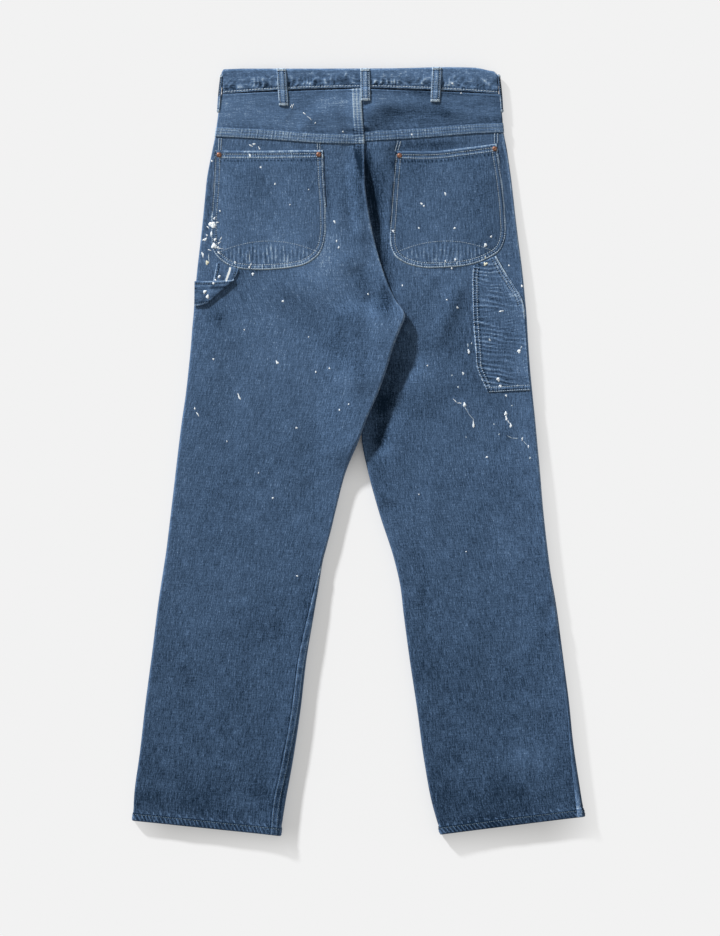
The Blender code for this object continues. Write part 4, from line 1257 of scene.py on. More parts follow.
@dataclass
class Legs(Part):
    """The yokes and the four leg panels, with their felled seams and hems."""

    right: RightHalf
    left: LeftHalf
    hem: float = 10.6
    hem_rise: float = 1.2
    rope: float = 5.6            # pitch of the twist along the hem
    rope_rise: float = 0.75
    strip: float = 9.4           # width of the felled inseam
    strip_rise: float = 0.8
    yoke_band: float = 12.6
    yoke_rise: float = 1.0
    tuck: float = 1.2            # how far a panel goes down under the piece sewn over it
    under_band: float = 0.9
    fine: Thread = Thread(radius=0.32, rise=0.2)
    strip_rows: tuple[float, ...] = (1.7, 8.0)
    yoke_rows: tuple[float, ...] = (1.7, 6.1, 10.7)
    middle_rows: tuple[float, ...] = (1.7, 6.2, 10.7)

    def build(self) -> None:
        """Make the six pieces, from the lowest up."""
        for half, side in ((self.right, "right"), (self.left, "left")):
            self.front(half, side)
            self.back(half, side)
            self.yoke(half, side)
            self.sewing.finish(f"stitches_{side}_yoke", self.look.faded)

    def ripple(self, half: Half, run: Array, pitch: float, seed: float) -> Array:
        """Uneven ridges across a seam, of height about 1."""
        shift = half.rumple.at(run + seed, run * 0 + seed, 19, 7)
        size = 0.75 + 0.5 * half.rumple.along(run + 3 * seed, 27)
        return size * crests(TURN * run / pitch + 2.6 * shift)

    def hemmed(self, half: Half, grid: Cloth) -> None:
        """Turn the hem: a raised band, roped by wear, with one sewn groove.

        Args:
            half: The half that it belongs to.
            grid: The panel.
        """
        up = grid.left_over(0)
        across = grid.run(1)
        band = plateau(up, self.hem + 0.8)
        slope = TURN * (across + 0.55 * up) / self.rope
        slope = slope + 2.2 * half.rumple.along(across, 21)
        rope = 1.3 * crests(slope) * smooth(up / 1.6) * smooth((self.hem - up) / 3.0)
        rope = rope * (0.8 + 0.5 * half.rumple.along(across + 50, 33))
        above = bump(up, self.hem + 4.5, 4.0) * np.sin(slope * 0.5 + 1.0)
        grid.tone += band * (0.34 * np.maximum(rope, 0) - 0.22 * np.maximum(-rope, 0))
        marks = np.maximum(crests(slope * 0.5 + 1.0 + 2 * half.rumple.at(across, up, 15, 9)), 0)
        grid.tone += 0.10 * plateau(up, 1.0) - 0.26 * bump(up, self.hem - 0.4, 1.3)
        grid.tone += 0.42 * marks * bump(up, self.hem + 3.0, 1.9)
        grid.raise_by(self.hem_rise * band + self.rope_rise * rope + 0.3 * above
                      - 0.5 * bump(up, self.hem - 0.9, 1.0) - 0.5 * plateau(up, 0.9))

    def front(self, half: Half, side: str) -> None:
        """A front panel, which carries the felled strips that show at the leg's sides.

        Args:
            half: The half that it belongs to.
            side: That half's side, "left" or "right".
        """
        rows = spaced((489, 6.0), (-60, 4.6), (half.foot + 20, 1.3), (half.foot, 0))
        grid = half.layer(rows, False, 46)
        grid.tone = half.tone(grid.x, grid.y)
        inner, outer = grid.run(1), grid.left_over(1)
        if side == "left":
            inner, outer = outer, inner
        shown = smooth((-30 - grid.y) / 70)
        strip = plateau(inner, self.strip) * shown
        ripple = self.ripple(half, grid.run(0), 6.5, 11)
        # Painted light: the edges that face away from the light, the left front's inner edge and
        # the right front's outer fold, are made paler; the right one more so near the hem.
        edge = plateau(outer, 7.0) * shown * (side == "right")
        if side == "left":
            grid.tone += 0.44 * shown * bump(grid.x - half.inner_edge(grid.y), 0, 3.0)
        painted_edge_light = 0.20 + 0.30 * smooth((-465 - grid.y) / 20)
        grid.tone += strip * (0.06 + 0.12 * ripple) + edge * painted_edge_light
        grid.tone -= 0.16 * strip * bump(inner, 5.0, 1.6) + 0.30 * shown * bump(inner, 10.4, 1.2)
        grid.tone += 0.14 * shown * bump(inner, 8.4, 1.0)
        grid.tone += shown * (0.34 * bump(inner, 1.2, 1.0) - 0.2 * bump(inner, 3.2, 0.9))
        grid.raise_by(self.strip_rise * strip * (1 + 0.12 * ripple) + 0.6 * edge
                      - 0.4 * shown * bumps(0.8, (inner, 1.7), (inner, 8.2)))
        self.hemmed(half, grid)
        self.maker.cloth(f"front_{side}", grid, self.look.cloth, "denim")
        if side == "left":
            start = int(np.argmax(rows < -75))
            for distance in self.strip_rows:
                points, facing = grid.line(distance, 1, True)
                self.sewing.row(points[start:], facing[start:], self.fine)
        self.sewing.row(*grid.line(self.hem - 0.9, 0, True), self.fine)

    def back(self, half: Half, side: str) -> None:
        """A back panel, tucked under the yoke's edge.

        Args:
            half: The half that it belongs to.
            side: That half's side, "left" or "right".
        """
        top = half.yoke_foot
        rows = spaced((top + 4, 1.2), (top - 12, 4.3), (half.foot + 20, 1.05), (half.foot, 0))
        grid = half.layer(rows, True, 146)
        # The fold edge towards the light gets a little paler; the edge away from it gets painted
        # light, which offsets the shade of its fold.
        lit, away = through(half.rows, grid.y, 2), half.inner_edge(grid.y)
        if side == "right":
            lit, away = away, lit
        grid.tone = half.tone(grid.x, grid.y) + 0.05 * bump(grid.x - lit, 0, 7.0)
        width, painted_edge_light = (3.2, 0.36) if side == "left" else (2.3, 0.44)
        grid.tone += painted_edge_light * bump(grid.x - away, 0, width)
        if side == "left":
            grid.tone -= 0.24 * bump(grid.left_over(1), 0.4, 1.2) * smooth((-90 - grid.y) / 60)
        above = rows[:, None] - top
        down = -self.tuck * smooth((above + 1.0) / 1.6)
        ripple = self.ripple(half, grid.run(1), 6.4, 5)
        down = down + 0.18 * ripple * bump(above, -5, 5)
        if side == "left":
            down = down + self.seat_band(half, grid, above)
        grid.tone += 0.04 * bump(above, 0, 4)
        grid.raise_by(down)
        self.hemmed(half, grid)
        self.maker.cloth(f"back_{side}", grid, self.look.cloth, "denim")
        self.sewing.row(*grid.line(self.hem - 0.9, 0, True), self.fine)
        self.sewing.finish(f"stitches_{side}_leg", self.look.faded)

    def seat_band(self, half: Half, grid: Cloth, above: Array) -> Array:
        """Rise of the felled seat seam below the yoke; it narrows and ends at the fold.

        Args:
            half: The left half.
            grid: Its back panel.
            above: How far each row is above the yoke seam.

        Returns:
            The rise.
        """
        width = mix(2.0, 12.0, smooth((above + 54) / 54))
        gap = half.inner_edge(grid.y) - grid.x
        shown = smooth((above + 58) / 14)
        fresh = smooth((above + 22) / 22)
        band = smooth((width - gap) / 1.2 + 0.5) * shown
        stripes = bumps(1.0, (gap, 1.6), (gap, 0.55 * width), (gap, width - 1.2))
        grid.tone += 0.26 * band * fresh * stripes - 0.18 * band
        # Painted shade darkens the hollow just left of the band.
        grid.tone -= 0.34 * shown * bump(gap - width, 1.2, 1.8)
        grid.pull(grid.y, 0.16 * band * fresh)
        return 0.75 * band - 0.3 * shown * bump(gap, 1.7, 0.8)

    def yoke(self, half: Half, side: str) -> None:
        """A yoke, whose lower border is felled over the back panel.

        Args:
            half: The half that it belongs to.
            side: That half's side, "left" or "right".
        """
        foot = half.yoke_foot
        rows = spaced((507, 1.3), (497, 2.4), (foot + 19, 1.05), (foot, 0))
        grid = half.layer(rows, True, 152)
        up, across = grid.left_over(0), grid.run(1)
        band = plateau(up, self.yoke_band)
        ripple = self.ripple(half, across, 5.2, 2)
        near = bump(up, self.yoke_band + 4, 4.5)
        claws = self.ripple(half, across + 0.5 * up, 8.5, 7) * near
        rise = self.yoke_rise * band * (1 + 0.22 * ripple) + 0.4 * claws
        for at in self.yoke_rows:
            rise = rise - 0.45 * bump(up, at, 0.9)
        # The yoke takes painted shade as well as the half's tone, less on its felled band.
        grid.tone = half.tone(grid.x, grid.y) + half.YOKE_FADED * (1 - 0.4 * band)
        grid.tone += band * (0.27 + 0.16 * ripple) + 0.12 * claws - 0.14 * bump(up, 13.8, 1.2)
        grid.tone += 0.14 * plateau(up, 1.4) - 0.05 * bumps(1.0, (up, 4.0), (up, 8.4))
        grain = 0.07 * half.rumple.at(grid.x, grid.y + 17, 46, 4.6)
        grain = grain + 0.06 * half.rumple.at(grid.x + 31, grid.y, 21, 8)
        grid.tone += grain * (1 - band)
        grid.pull(across, 0.11 * band * (1 + 0.7 * half.rumple.at(across, up, 31, 9)))
        # Below the waistband's foot lie a pale line and then a dark line of painted shadow cast by
        # the band.
        below = Waistband.foot(grid.x) - grid.y
        grid.tone += 0.20 * bump(below, 2.6, 0.9) - 0.14 * bump(below, 4.6, 1.2)
        if side == "left":
            rise = self.middle_band(half, grid, rise)
        else:
            beside_seam = bump(grid.x, 12, 7) * self.ripple(half, grid.y + 0.4 * grid.x, 7.5, 9)
            grid.tone += 0.10 * beside_seam
            rise = rise + 0.35 * beside_seam
        rise = rise - self.under_band * smooth((grid.y - Waistband.foot(grid.x) - 0.2) / 1.6)
        grid.raise_by(rise)
        name = f"yoke_{side}"
        self.maker.cloth(name, grid, self.look.band, "denim_light", crosswise=True)
        for at in self.yoke_rows:
            self.sewing.row(*grid.line(at, 0, True), self.fine)
        if side == "left":
            for at in self.middle_rows:
                self.sew_beside_edge(half, at, (505, 470, 447), name)
            self.sew_beside_edge(half, 1.7, (430, 420, 410), "back_left")

    def middle_band(self, half: Half, grid: Cloth, rise: Array) -> Array:
        """The felled seat seam of the yoke, added to what rises there already.

        Args:
            half: The left half.
            grid: Its yoke.
            rise: What rises there already.

        Returns:
            The rise of both.
        """
        gap = half.inner_edge(grid.y) - grid.x
        middle = plateau(gap, 12.4)
        fringe = bump(gap, 14.0, 2.4) * self.ripple(half, grid.y, 5.0, 3)
        grid.tone += 0.32 * middle * smooth((grid.y - 440) / 30) + 0.12 * middle + 0.3 * fringe
        grid.tone -= 0.34 * middle * bumps(1.0, (gap, 4.0), (gap, 8.5))
        grid.tone += 0.3 * plateau(gap, 1.4) + 0.2 * middle * bumps(0.9, (gap, 6.2), (gap, 10.9))
        knot = bump(gap, 3.4, 3.2) * bump(grid.y, 434.6, 3.4)
        grid.tone += 0.40 * knot - 0.30 * bump(gap, 12.6, 2.0) * bump(grid.y, 446, 7)
        grid.pull(grid.y, 0.18 * middle * mix(0.4, 1.0, smooth((480 - grid.y) / 20)))
        grooves = bumps(0.8, *((gap, at) for at in self.middle_rows))
        return np.maximum(rise, 0.8 * middle) + 0.25 * fringe - 0.3 * grooves

    def sew_beside_edge(self, half: Half, gap: float, heights: Sequence[float],
                        onto: str) -> None:
        """Sew a row at an even distance from a half's inner edge."""
        line = [(float(half.inner_edge(np.array(y))) - gap, y) for y in heights]
        self.sewing.along(line, (onto,), self.fine)


@dataclass
class Waistband(Part):
    """One long strip from the fly round both sides of the waist and back to the fly."""

    wall: float = 1.2
    overlap: float = 20.0
    front_gap: float = 2.2       # how far one end rides over the other
    stitch_up: float = 2.6
    LEFT = -191.5                # where it bends round the sides
    RIGHT = 195.5
    FOOT = 499.9                 # its lower edge at the sides

    @staticmethod
    def across(x: Number) -> Number:
        """0 at the centre back and 1 at the sides."""
        return np.abs(x - 2.0) / 193.5

    @staticmethod
    def foot(x: Number) -> Number:
        """Height of its lower edge on the back."""
        return Waistband.FOOT + 8.5 * (1 - Waistband.across(x) ** 2)

    @staticmethod
    def level(x: Number) -> Number:
        """Height of its outer face on the back."""
        return WAIST_LIFT + 6.0 + over_laps(x)

    def edges(self, x: Array, front: Array) -> tuple[Array, Array]:
        """Its lower and upper edge, on the back (front 0) or on the front (front 1).

        Args:
            x: Places across.
            front: How far round to the front they are.

        Returns:
            Heights of the lower and the upper edge.
        """
        out = self.across(x)
        corner = 0.9 * smooth((-x - 160) / 30) + 1.0 * smooth((-x - 188) / 4)
        corner = corner + 4.5 * smooth((x - 160) / 32) + 5.0 * smooth((x - 188) / 8)
        back = (self.foot(x), 535.2 + 2.0 * bump(x, 124.0, 60.0) - corner)
        low = self.FOOT - 10.5 * (1 - out)
        return mix(back[0], low, front), mix(back[1], low + 32.0 - corner, front)

    def path(self) -> tuple[Array, Array, Array]:
        """Its outer face as seen from the top edge: places across, heights, and front share.

        Returns:
            The places, one after another from end to end.
        """
        parts = []
        for edge, way in ((self.LEFT, 1), (self.RIGHT, -1)):
            radius = (self.level(edge + 4 * way) - WAIST_LIFT) / 2
            centre = edge + way * radius
            turn = np.linspace(-math.pi / 2, math.pi / 2, 11)
            x = centre - way * radius * np.cos(turn)
            z = WAIST_LIFT + radius * (1 + np.sin(turn))
            parts.append((x, z, 0.5 - turn / math.pi))
        left, right = parts[0], tuple(values[::-1] for values in parts[1])
        x0 = np.linspace(self.overlap, left[0][0], 46)[:-1]
        x1 = np.linspace(left[0][-1], right[0][0], 330)[1:-1]
        x2 = np.linspace(right[0][-1], -self.overlap, 46)[1:]
        under = WAIST_LIFT + self.front_gap * smooth((50 - x2) / 27)
        x = np.concatenate([x0, left[0], x1, right[0], x2])
        z = np.concatenate([0 * x0 + WAIST_LIFT, left[1], self.level(x1), right[1], under])
        front = np.concatenate([0 * x0 + 1, left[2], 0 * x1, right[2], 0 * x2 + 1])
        return x, z, front

    def build(self) -> None:
        """Make the strip, with a soft top edge and puckers over its sewn foot."""
        x, z, front = self.path()
        low, high = self.edges(x, front)
        share = np.concatenate([[0, 0.02, 0.05], np.linspace(0.1, 0.88, 18), [0.93, 0.97, 1.0]])
        y = mix(high[None], low[None], share[:, None])
        grid = woven(x, y, z)
        up, down, run = grid.left_over(0), grid.run(0), grid.run(1)
        rumple = Rumple(31)
        lean = run - 0.5 * up - 2.4 * np.sin(up * 0.3 + 2.0 * rumple.along(run + 7, 26))
        wave = crests(TURN * lean / 7.4 + 4.4 * rumple.along(run, 15))
        wave = 0.6 * wave * (0.55 + 1.0 * rumple.at(run + 40, up, 17, 8))
        for off, size, much in ((0, 11.0, 0.85), (57, 7.0, 0.5), (113, 19.0, 0.7)):
            sway = run - 0.9 * up + 4.0 * rumple.at(run + off, up, 23, 11)
            line = rumple.at(sway + off, up + 0.35 * run, size, 0.62 * size)
            wave = wave + much * (bump(line, 0.0, 0.24) - 0.42)
        above = up - self.stitch_up
        near = 0.66 * bump(above, 4.6, 4.0) + 0.46 * bump(above, 12, 7.0)
        soft = smooth(down / 3.0) * smooth(up / 2.0)
        grid.tone = 0.19 + 0.60 * near * wave + 0.34 * plateau(up, 1.0) + 0.10 * plateau(down, 2)
        grid.tone += 0.08 * rumple.at(run, up, 30, 9) + 0.08 * rumple.at(run, up, 44, 3.4)
        grid.tone += 0.10 * rumple.at(run + 17, up, 5.0, 3.6)
        grid.tone -= 0.20 * bump(up, self.stitch_up + 2.0, 1.4)
        grid.pull(run, 0.30 * bump(up, self.stitch_up, 1.6))
        rise = 0.4 * soft * bump(up, 19, 12) + 0.8 * near * wave * soft
        rise = rise + 0.55 * rumple.at(run, up, 24, 14) * soft - 0.9 * plateau(down, 1.0, 2.4)
        rise = rise - 0.5 * bump(up, self.stitch_up, 1.0) - 0.4 * plateau(up, 0.6)
        grid.raise_by(np.where(front > 0.5, np.minimum(rise, 0.5), rise))
        self.maker.cloth("waistband", grid, self.look.band, "denim_light", self.wall,
                         crosswise=True)
        self.sewing.row(*grid.line(self.stitch_up, 0, True), Thread(4.2, 0.80, 0.44, 0.2))
        self.sewing.finish("stitches_waistband", self.look.thread)


Points = tuple[tuple[float, float], ...]


@dataclass(frozen=True)
class PocketCut:
    """The shape of a seat pocket, and where it is sewn on."""

    name: str
    mouth: Points
    foot: Points                 # down the left side, round, and up the right one
    onto: tuple[str, ...]
    ties: tuple[Points, ...]     # short thick rows above its corners
    # patches where it is paler and where it is darker
    worn: tuple[WearAndShade, ...]
    seed: int
    pale: float


LEFT_POCKET = PocketCut(
    "pocket_left", ((-200.8, 420.5), (-150, 420.2), (-50.6, 421.5)),
    ((-200.8, 420.5), (-202.6, 372), (-205.6, 330), (-206.2, 300), (-204.5, 283), (-196.8, 271.3),
     (-186, 262.5), (-175.5, 257.5), (-160, 254.6), (-145, 253.8), (-107, 255.4), (-90, 257.7),
     (-77, 260.7), (-66, 266.5), (-57, 274.4), (-51, 284), (-47, 300), (-46, 330), (-48.4, 372),
     (-50.6, 421.5)),
    ("back_left", "back_right"),
    (((-195.4, 438), (-196.0, 421.5)), ((-192.2, 438), (-192.8, 421.5)),
     ((-58.0, 434), (-57.6, 421.8)), ((-54.6, 433), (-54.2, 421.8))),
    patches((-120, 310, 50, 50, 0.02), (-150, 395, 40, 24, -0.07), (-72, 390, 22, 40, -0.11),
            (-80, 295, 24, 30, 0.06), (-202, 290, 10, 44, -0.10), (-100, 425, 30, 12, -0.04)),
    41, 0.08)
RIGHT_POCKET = PocketCut(
    "pocket_right", ((52.2, 420.0), (106, 419.6), (152, 424.8), (192, 430)),
    ((52.2, 420.0), (47.8, 370), (45.0, 330), (43.4, 300), (44.6, 286), (52, 272), (64.5, 263.6),
     (84, 257.8), (122, 257.2), (160, 262), (183, 271), (198, 282), (204.6, 298), (205, 328),
     (201, 372), (192, 430)),
    ("back_right", "back_left"),
    (((190.0, 445), (189.6, 431)), ((194.2, 445), (194.0, 431.5)),
     ((54.8, 434), (50.8, 419.5)), ((58.6, 434), (55.0, 421.0))),
    patches((48.4, 372, 1.5, 60, -0.6, -4.6), (92, 278, 30, 26, 0.11), (70, 390, 22, 34, -0.10),
            (104, 415, 30, 14, -0.12), (170, 335, 22, 50, -0.09), (180, 390, 20, 30, -0.04),
            (54, 330, 9, 40, -0.05), (104, 325, 20, 20, 0.04)),
    52, 0.02)


@dataclass
class SeatPocket(Part):
    """A worn seat pocket with a round foot, sewn on with two rows."""

    cut: PocketCut
    wall: float = 0.8
    proud: float = 0.86
    hem: float = 12.0
    inner_row: float = 7.0
    outer_row: float = 1.4
    mouth_rows: tuple[float, ...] = (4.9, 9.4)

    def build(self) -> None:
        """Make the pocket on the cloth below it, and sew it down."""
        border = bent(self.cut.foot, 2.0)
        top = bent(self.cut.mouth, 2.0)
        points, _ = self.maker.drop(*self.places(top), self.cut.onto)
        grid = Cloth(points)
        self.dress(grid, border, top)
        self.maker.cloth(self.cut.name, grid, self.look.pocket, "denim_light", self.wall)
        self.sew(border, top)

    def places(self, top: Array) -> tuple[Array, Array]:
        """Where its rows and stations lie, seen from above, between mouth and foot.

        Args:
            top: The line of its mouth.

        Returns:
            The places across and along.
        """
        low = bent(self.cut.foot, 1.7)
        x_top = mix(top[0, 0], top[-1, 0], (low[:, 0] - low[0, 0]) / (low[-1, 0] - low[0, 0]))
        x_top = np.minimum(np.maximum.accumulate(x_top), top[-1, 0])
        y_top = np.interp(x_top, top[:, 0], top[:, 1])
        t = spaced((0.0, 0.007), (0.12, 0.022), (0.86, 0.010), (1.0, 0))
        x = mix(x_top[None], low[None, :, 0], t[:, None])
        return x, mix(y_top[None], low[None, :, 1], t[:, None])

    def dress(self, grid: Cloth, border: Array, top: Array) -> None:
        """Give it its height, its puckers and its worn edges.

        Args:
            grid: Its grid, which lies on the cloth below.
            border: The line of its sides and foot.
            top: The line of its mouth.
        """
        x, y = grid.x, grid.y
        side, run, _ = nearest(border, x, y)
        down, along, _ = nearest(top, x, y)
        rumple = Rumple(self.cut.seed)
        pucker = rumple.puckers(run, 4.7)
        pucker = pucker * bump(side, 4.2, 3.0) * (0.8 + 0.6 * rumple.along(run + 9, 21))
        gather = rumple.puckers(along, 5.0, size=13.0)
        below = 0.6 * bump(down, self.hem + 5.6, 4.0) + bump(down, self.hem - 3.0, 3.0)
        below = gather * below * (0.8 + 0.7 * rumple.along(along, 29))
        depth = smooth((self.arc(x) - y) / 9) * smooth((side - self.inner_row) / 3)
        lines = crests(TURN * x / 5.6 + 2.4 * rumple.at(x, y, 16, 24)) * depth
        hem = plateau(down, self.hem)
        rise = self.proud + 0.9 * smooth((side - 7) / 22) * smooth((down - 6) / 20)
        rise = rise + 0.25 * hem + 0.38 * pucker + 0.34 * below + 0.36 * lines
        rise = rise + 0.4 * rumple.at(x, y, 26, 44) * smooth((side - 4) / 12)
        rise = rise - 0.4 * bumps(0.9, (side, self.outer_row), (side, self.inner_row))
        rise = rise - 0.4 * bumps(1.0, (down, 4.9), (down, self.hem - 0.6))
        rise = rise - 0.45 * plateau(side, 0.8) - 0.2 * plateau(down, 0.7)
        frame_zone = smooth((self.inner_row + 2.5 - side) / 4)
        foot_zone = smooth((294 - y) / 26)
        tone = self.cut.pale + 0.03 * frame_zone + (0.18 + 0.28 * foot_zone) * pucker
        tone += 0.14 * below + 0.32 * lines + 0.17 * foot_zone * rumple.at(x, y, 5.0, 7.0)
        rubbed = 0.55 + 0.9 * rumple.along(run + 5, 11) + 0.5 * rumple.at(x, y, 5, 5)
        rim = 0.42 * np.maximum(rubbed, 0.05) + 0.50 * foot_zone
        tone += 0.08 * hem + rim * plateau(side, 1.6) + 0.12 * foot_zone * bump(side, 4.4, 1.5)
        tone += 0.34 * rubbed * plateau(down, 2.4) + 0.17 * bump(down, 9.2, 2.4)
        tone -= 0.22 * bumps(1.0, (side, self.outer_row + 2.0), (side, self.inner_row))
        tone -= 0.40 * bump(down, 4.9, 1.3)
        # Painted shadow of the mouth's hem darkens the cloth just below it.
        tone -= 0.36 * (0.55 + 0.9 * gather) * bump(down, self.hem + 1.8, 1.9)
        tone += 0.14 * bump(side, 4.6, 1.4)
        grid.pull(along, 0.22 * (bump(down, 4.9, 1.4) + bump(down, 9.2, 2.0)))
        grid.pull(run, 0.22 * bumps(1.6, (side, 2.0), (side, self.inner_row)))
        tone += 0.10 * smooth((self.arc(x) - y) / 12)
        grid.tone = tone + (0.05 * rumple.at(x + 70, y, 40, 60)
                            + sum(w.tone(x, y) for w in self.cut.worn))
        grid.points[..., 2] += rise

    def sew(self, border: Array, top: Array) -> None:
        """Sew its border, its mouth, the arc over its foot and the ties above its corners.

        Args:
            border: The line of its sides and foot.
            top: The line of its mouth.
        """
        own = (self.cut.name,)
        self.rows_beside(border, (self.outer_row, self.inner_row), 2, own)
        self.rows_beside(top, [-gap for gap in self.mouth_rows], 2, own)
        across = spaced((border[:, 0].min() + 8, 6.0), (border[:, 0].max() - 8, 0))
        self.sewing.along([(v, float(self.arc(np.array(v)))) for v in across], own,
                          Thread(radius=0.28, rise=0.2))
        for tie in self.cut.ties:
            self.sewing.along(tie, self.cut.onto, Thread(pitch=1.7, cover=0.85, radius=0.55))
        self.sewing.finish(f"stitches_{self.cut.name}", self.look.thread)

    def arc(self, x: Array) -> Array:
        """Height of the plain low arc of stitches that holds the lining of the pocket's foot."""
        middle = (self.cut.foot[0][0] + self.cut.foot[-1][0]) / 2
        return 294.0 - 20.0 * ((x - middle) / 78.0) ** 2


@dataclass
class ToolPocket(Part):
    """The long narrow pocket on the right thigh, puckered by two rows of stitches."""

    rows: tuple[tuple[float, float, float, float], ...] = (
        (259.6, 160.2, 273.0, 191.6), (246, 158.6, 252.6, 203.4), (228, 158.6, 235, 214.8),
        (208, 158.8, 218, 225.6), (188, 159.4, 203, 230.6), (165, 161.0, 180, 232.4),
        (140, 163.0, 150, 234.4), (114.7, 165.4, 118, 236.6), (98, 172.5, 102, 238.0),
        (81.8, 179.7, 85.4, 240.4))
    proud: float = 1.05
    left_rows: tuple[float, ...] = (1.5, 6.6)
    foot_rows: tuple[float, ...] = (1.6, 7.4)
    mouth_rows: tuple[float, ...] = (2.6, 6.8)

    def build(self) -> None:
        """Make the pocket on the thigh below it, and sew it down."""
        y_left = spaced((259.6, 1.35), (81.8, 0))
        left_x, y_right, right_x = (through(self.rows, y_left, c) for c in (1, 2, 3))
        u = np.concatenate([[0, 0.015], np.linspace(0.04, 0.96, 44), [0.985, 1.0]])
        x = mix(left_x[:, None], right_x[:, None], u[None])
        y = mix(y_left[:, None], y_right[:, None], u[None])
        points, _ = self.maker.drop(x, y, ("back_right",))
        left = np.column_stack([left_x, y_left])
        right = np.column_stack([right_x, y_right])
        foot = bent((left[-1], right[-1]), 2.0)
        mouth = right[y_right > 205]         # the slanting edge that stays open
        grid = Cloth(points)
        self.dress(grid, u, left, foot, right, mouth)
        name = "tool_pocket"
        self.maker.cloth(name, grid, self.look.pocket, "denim_light")
        self.rows_beside(left, self.left_rows, 3, (name,))
        self.rows_beside(foot, self.foot_rows, 1, (name,))
        self.rows_beside(mouth, [-gap for gap in self.mouth_rows], 1, (name,), Thread(
            pitch=2.8, cover=0.5, radius=0.34, rise=0.2))
        self.sewing.finish(f"stitches_{name}", self.look.thread)

    def dress(self, grid: Cloth, u: Array, left: Array, foot: Array, right: Array,
              mouth: Array) -> None:
        """Give it its height, its puckers and its worn edges.

        Args:
            grid: Its grid, which lies on the thigh.
            u: Share of its width at each station.
            left: The line of its left edge.
            foot: The line of its foot.
            right: The line of its right edge.
            mouth: The part of that line where it is open.
        """
        x, y = grid.x, grid.y
        side, run, _ = nearest(left, x, y)
        low, along, _ = nearest(foot, x, y)
        slant, slant_run, _ = nearest(mouth, x, y)
        rumple = Rumple(63)
        sway = 3.6 * rumple.at(y, x, 17, 30) + 1.6 * rumple.at(y + 50, x, 7, 15)
        wave = crests(TURN * (y + 0.14 * (x - 160)) / 6.2 + sway)
        size = mix(0.20, 0.46, np.exp(-side / 24)) * (0.8 + 1.0 * rumple.at(x, y, 19, 12))
        size = size * smooth((low - 3) / 6) * smooth((slant + 6) / 18)
        fell = plateau(slant, 12.0)
        pucker = np.sin(TURN * along / 5.4 + 2 * rumple.along(along, 15))
        pucker = pucker * bump(low, 6, 4)
        rise = self.proud + 0.7 * smooth((side - 5) / 18) * smooth((low - 6) / 18)
        rise = rise + size * wave + 0.2 * pucker + 0.5 * fell
        rise = rise + 0.5 * rumple.at(x, y + 30, 22, 34) * smooth((side - 3) / 12)
        for gap, rows in ((side, self.left_rows), (low, self.foot_rows), (slant, self.mouth_rows)):
            for at in rows:
                rise = rise - 0.42 * bump(gap, at, 0.9)
        rise = rise - 0.45 * plateau(side, 0.8) - 0.45 * plateau(low, 0.8)
        fine = crests(TURN * (y - 0.2 * x) / 4.1 + 3.0 * rumple.at(y + 9, x, 12, 13))
        fine = fine * smooth((side - 8) / 4) * smooth((slant - 10) / 4) * rumple.at(x, y, 8, 7)
        tone = 0.04 + 0.34 * size / 0.4 * wave + 0.05 * pucker + 0.10 * fell + 0.26 * fine
        tone += 0.28 * bump(x, 215.0, 5.0) * bump(y, 219.6, 5.5)
        rim, _, _ = nearest(right[right[:, 1] > 186], x, y)
        tone += 0.30 * plateau(rim, 1.7) * smooth((206 - y) / 3)
        tone += 0.09 * smooth((u - 0.62) / 0.38) + 0.16 * bump(u, 1.0, 0.03)
        rubbed = np.maximum(0.6 + 0.9 * rumple.at(x, y, 9, 9), 0.1)
        tone += 0.38 * rubbed * (plateau(side, 1.5) + plateau(low, 1.5) + plateau(slant, 1.8))
        tone -= 0.34 * bumps(1.0, (side, 3.3), (low, 3.4), (slant, 3.4))
        tone -= 0.28 * bumps(1.0, (side, 8.6), (slant, 7.4))
        tone += 0.18 * (bumps(1.2, (side, 5.6), (low, 5.6)) + bump(slant, 5.4, 1.0))
        tone += 0.06 * rumple.at(x + 30, y, 30, 40)
        for length, gap, places, width, much in (
                (run, side, (3.2, 7.4), 1.5, 0.28), (along, low, (3.2, 7.4), 1.5, 0.22),
                (slant_run, slant, (3.4, 7.4), 1.3, 0.34)):
            grid.pull(length, much * bumps(width, *((gap, at) for at in places)))
        grid.tone = tone
        grid.points[..., 2] += rise


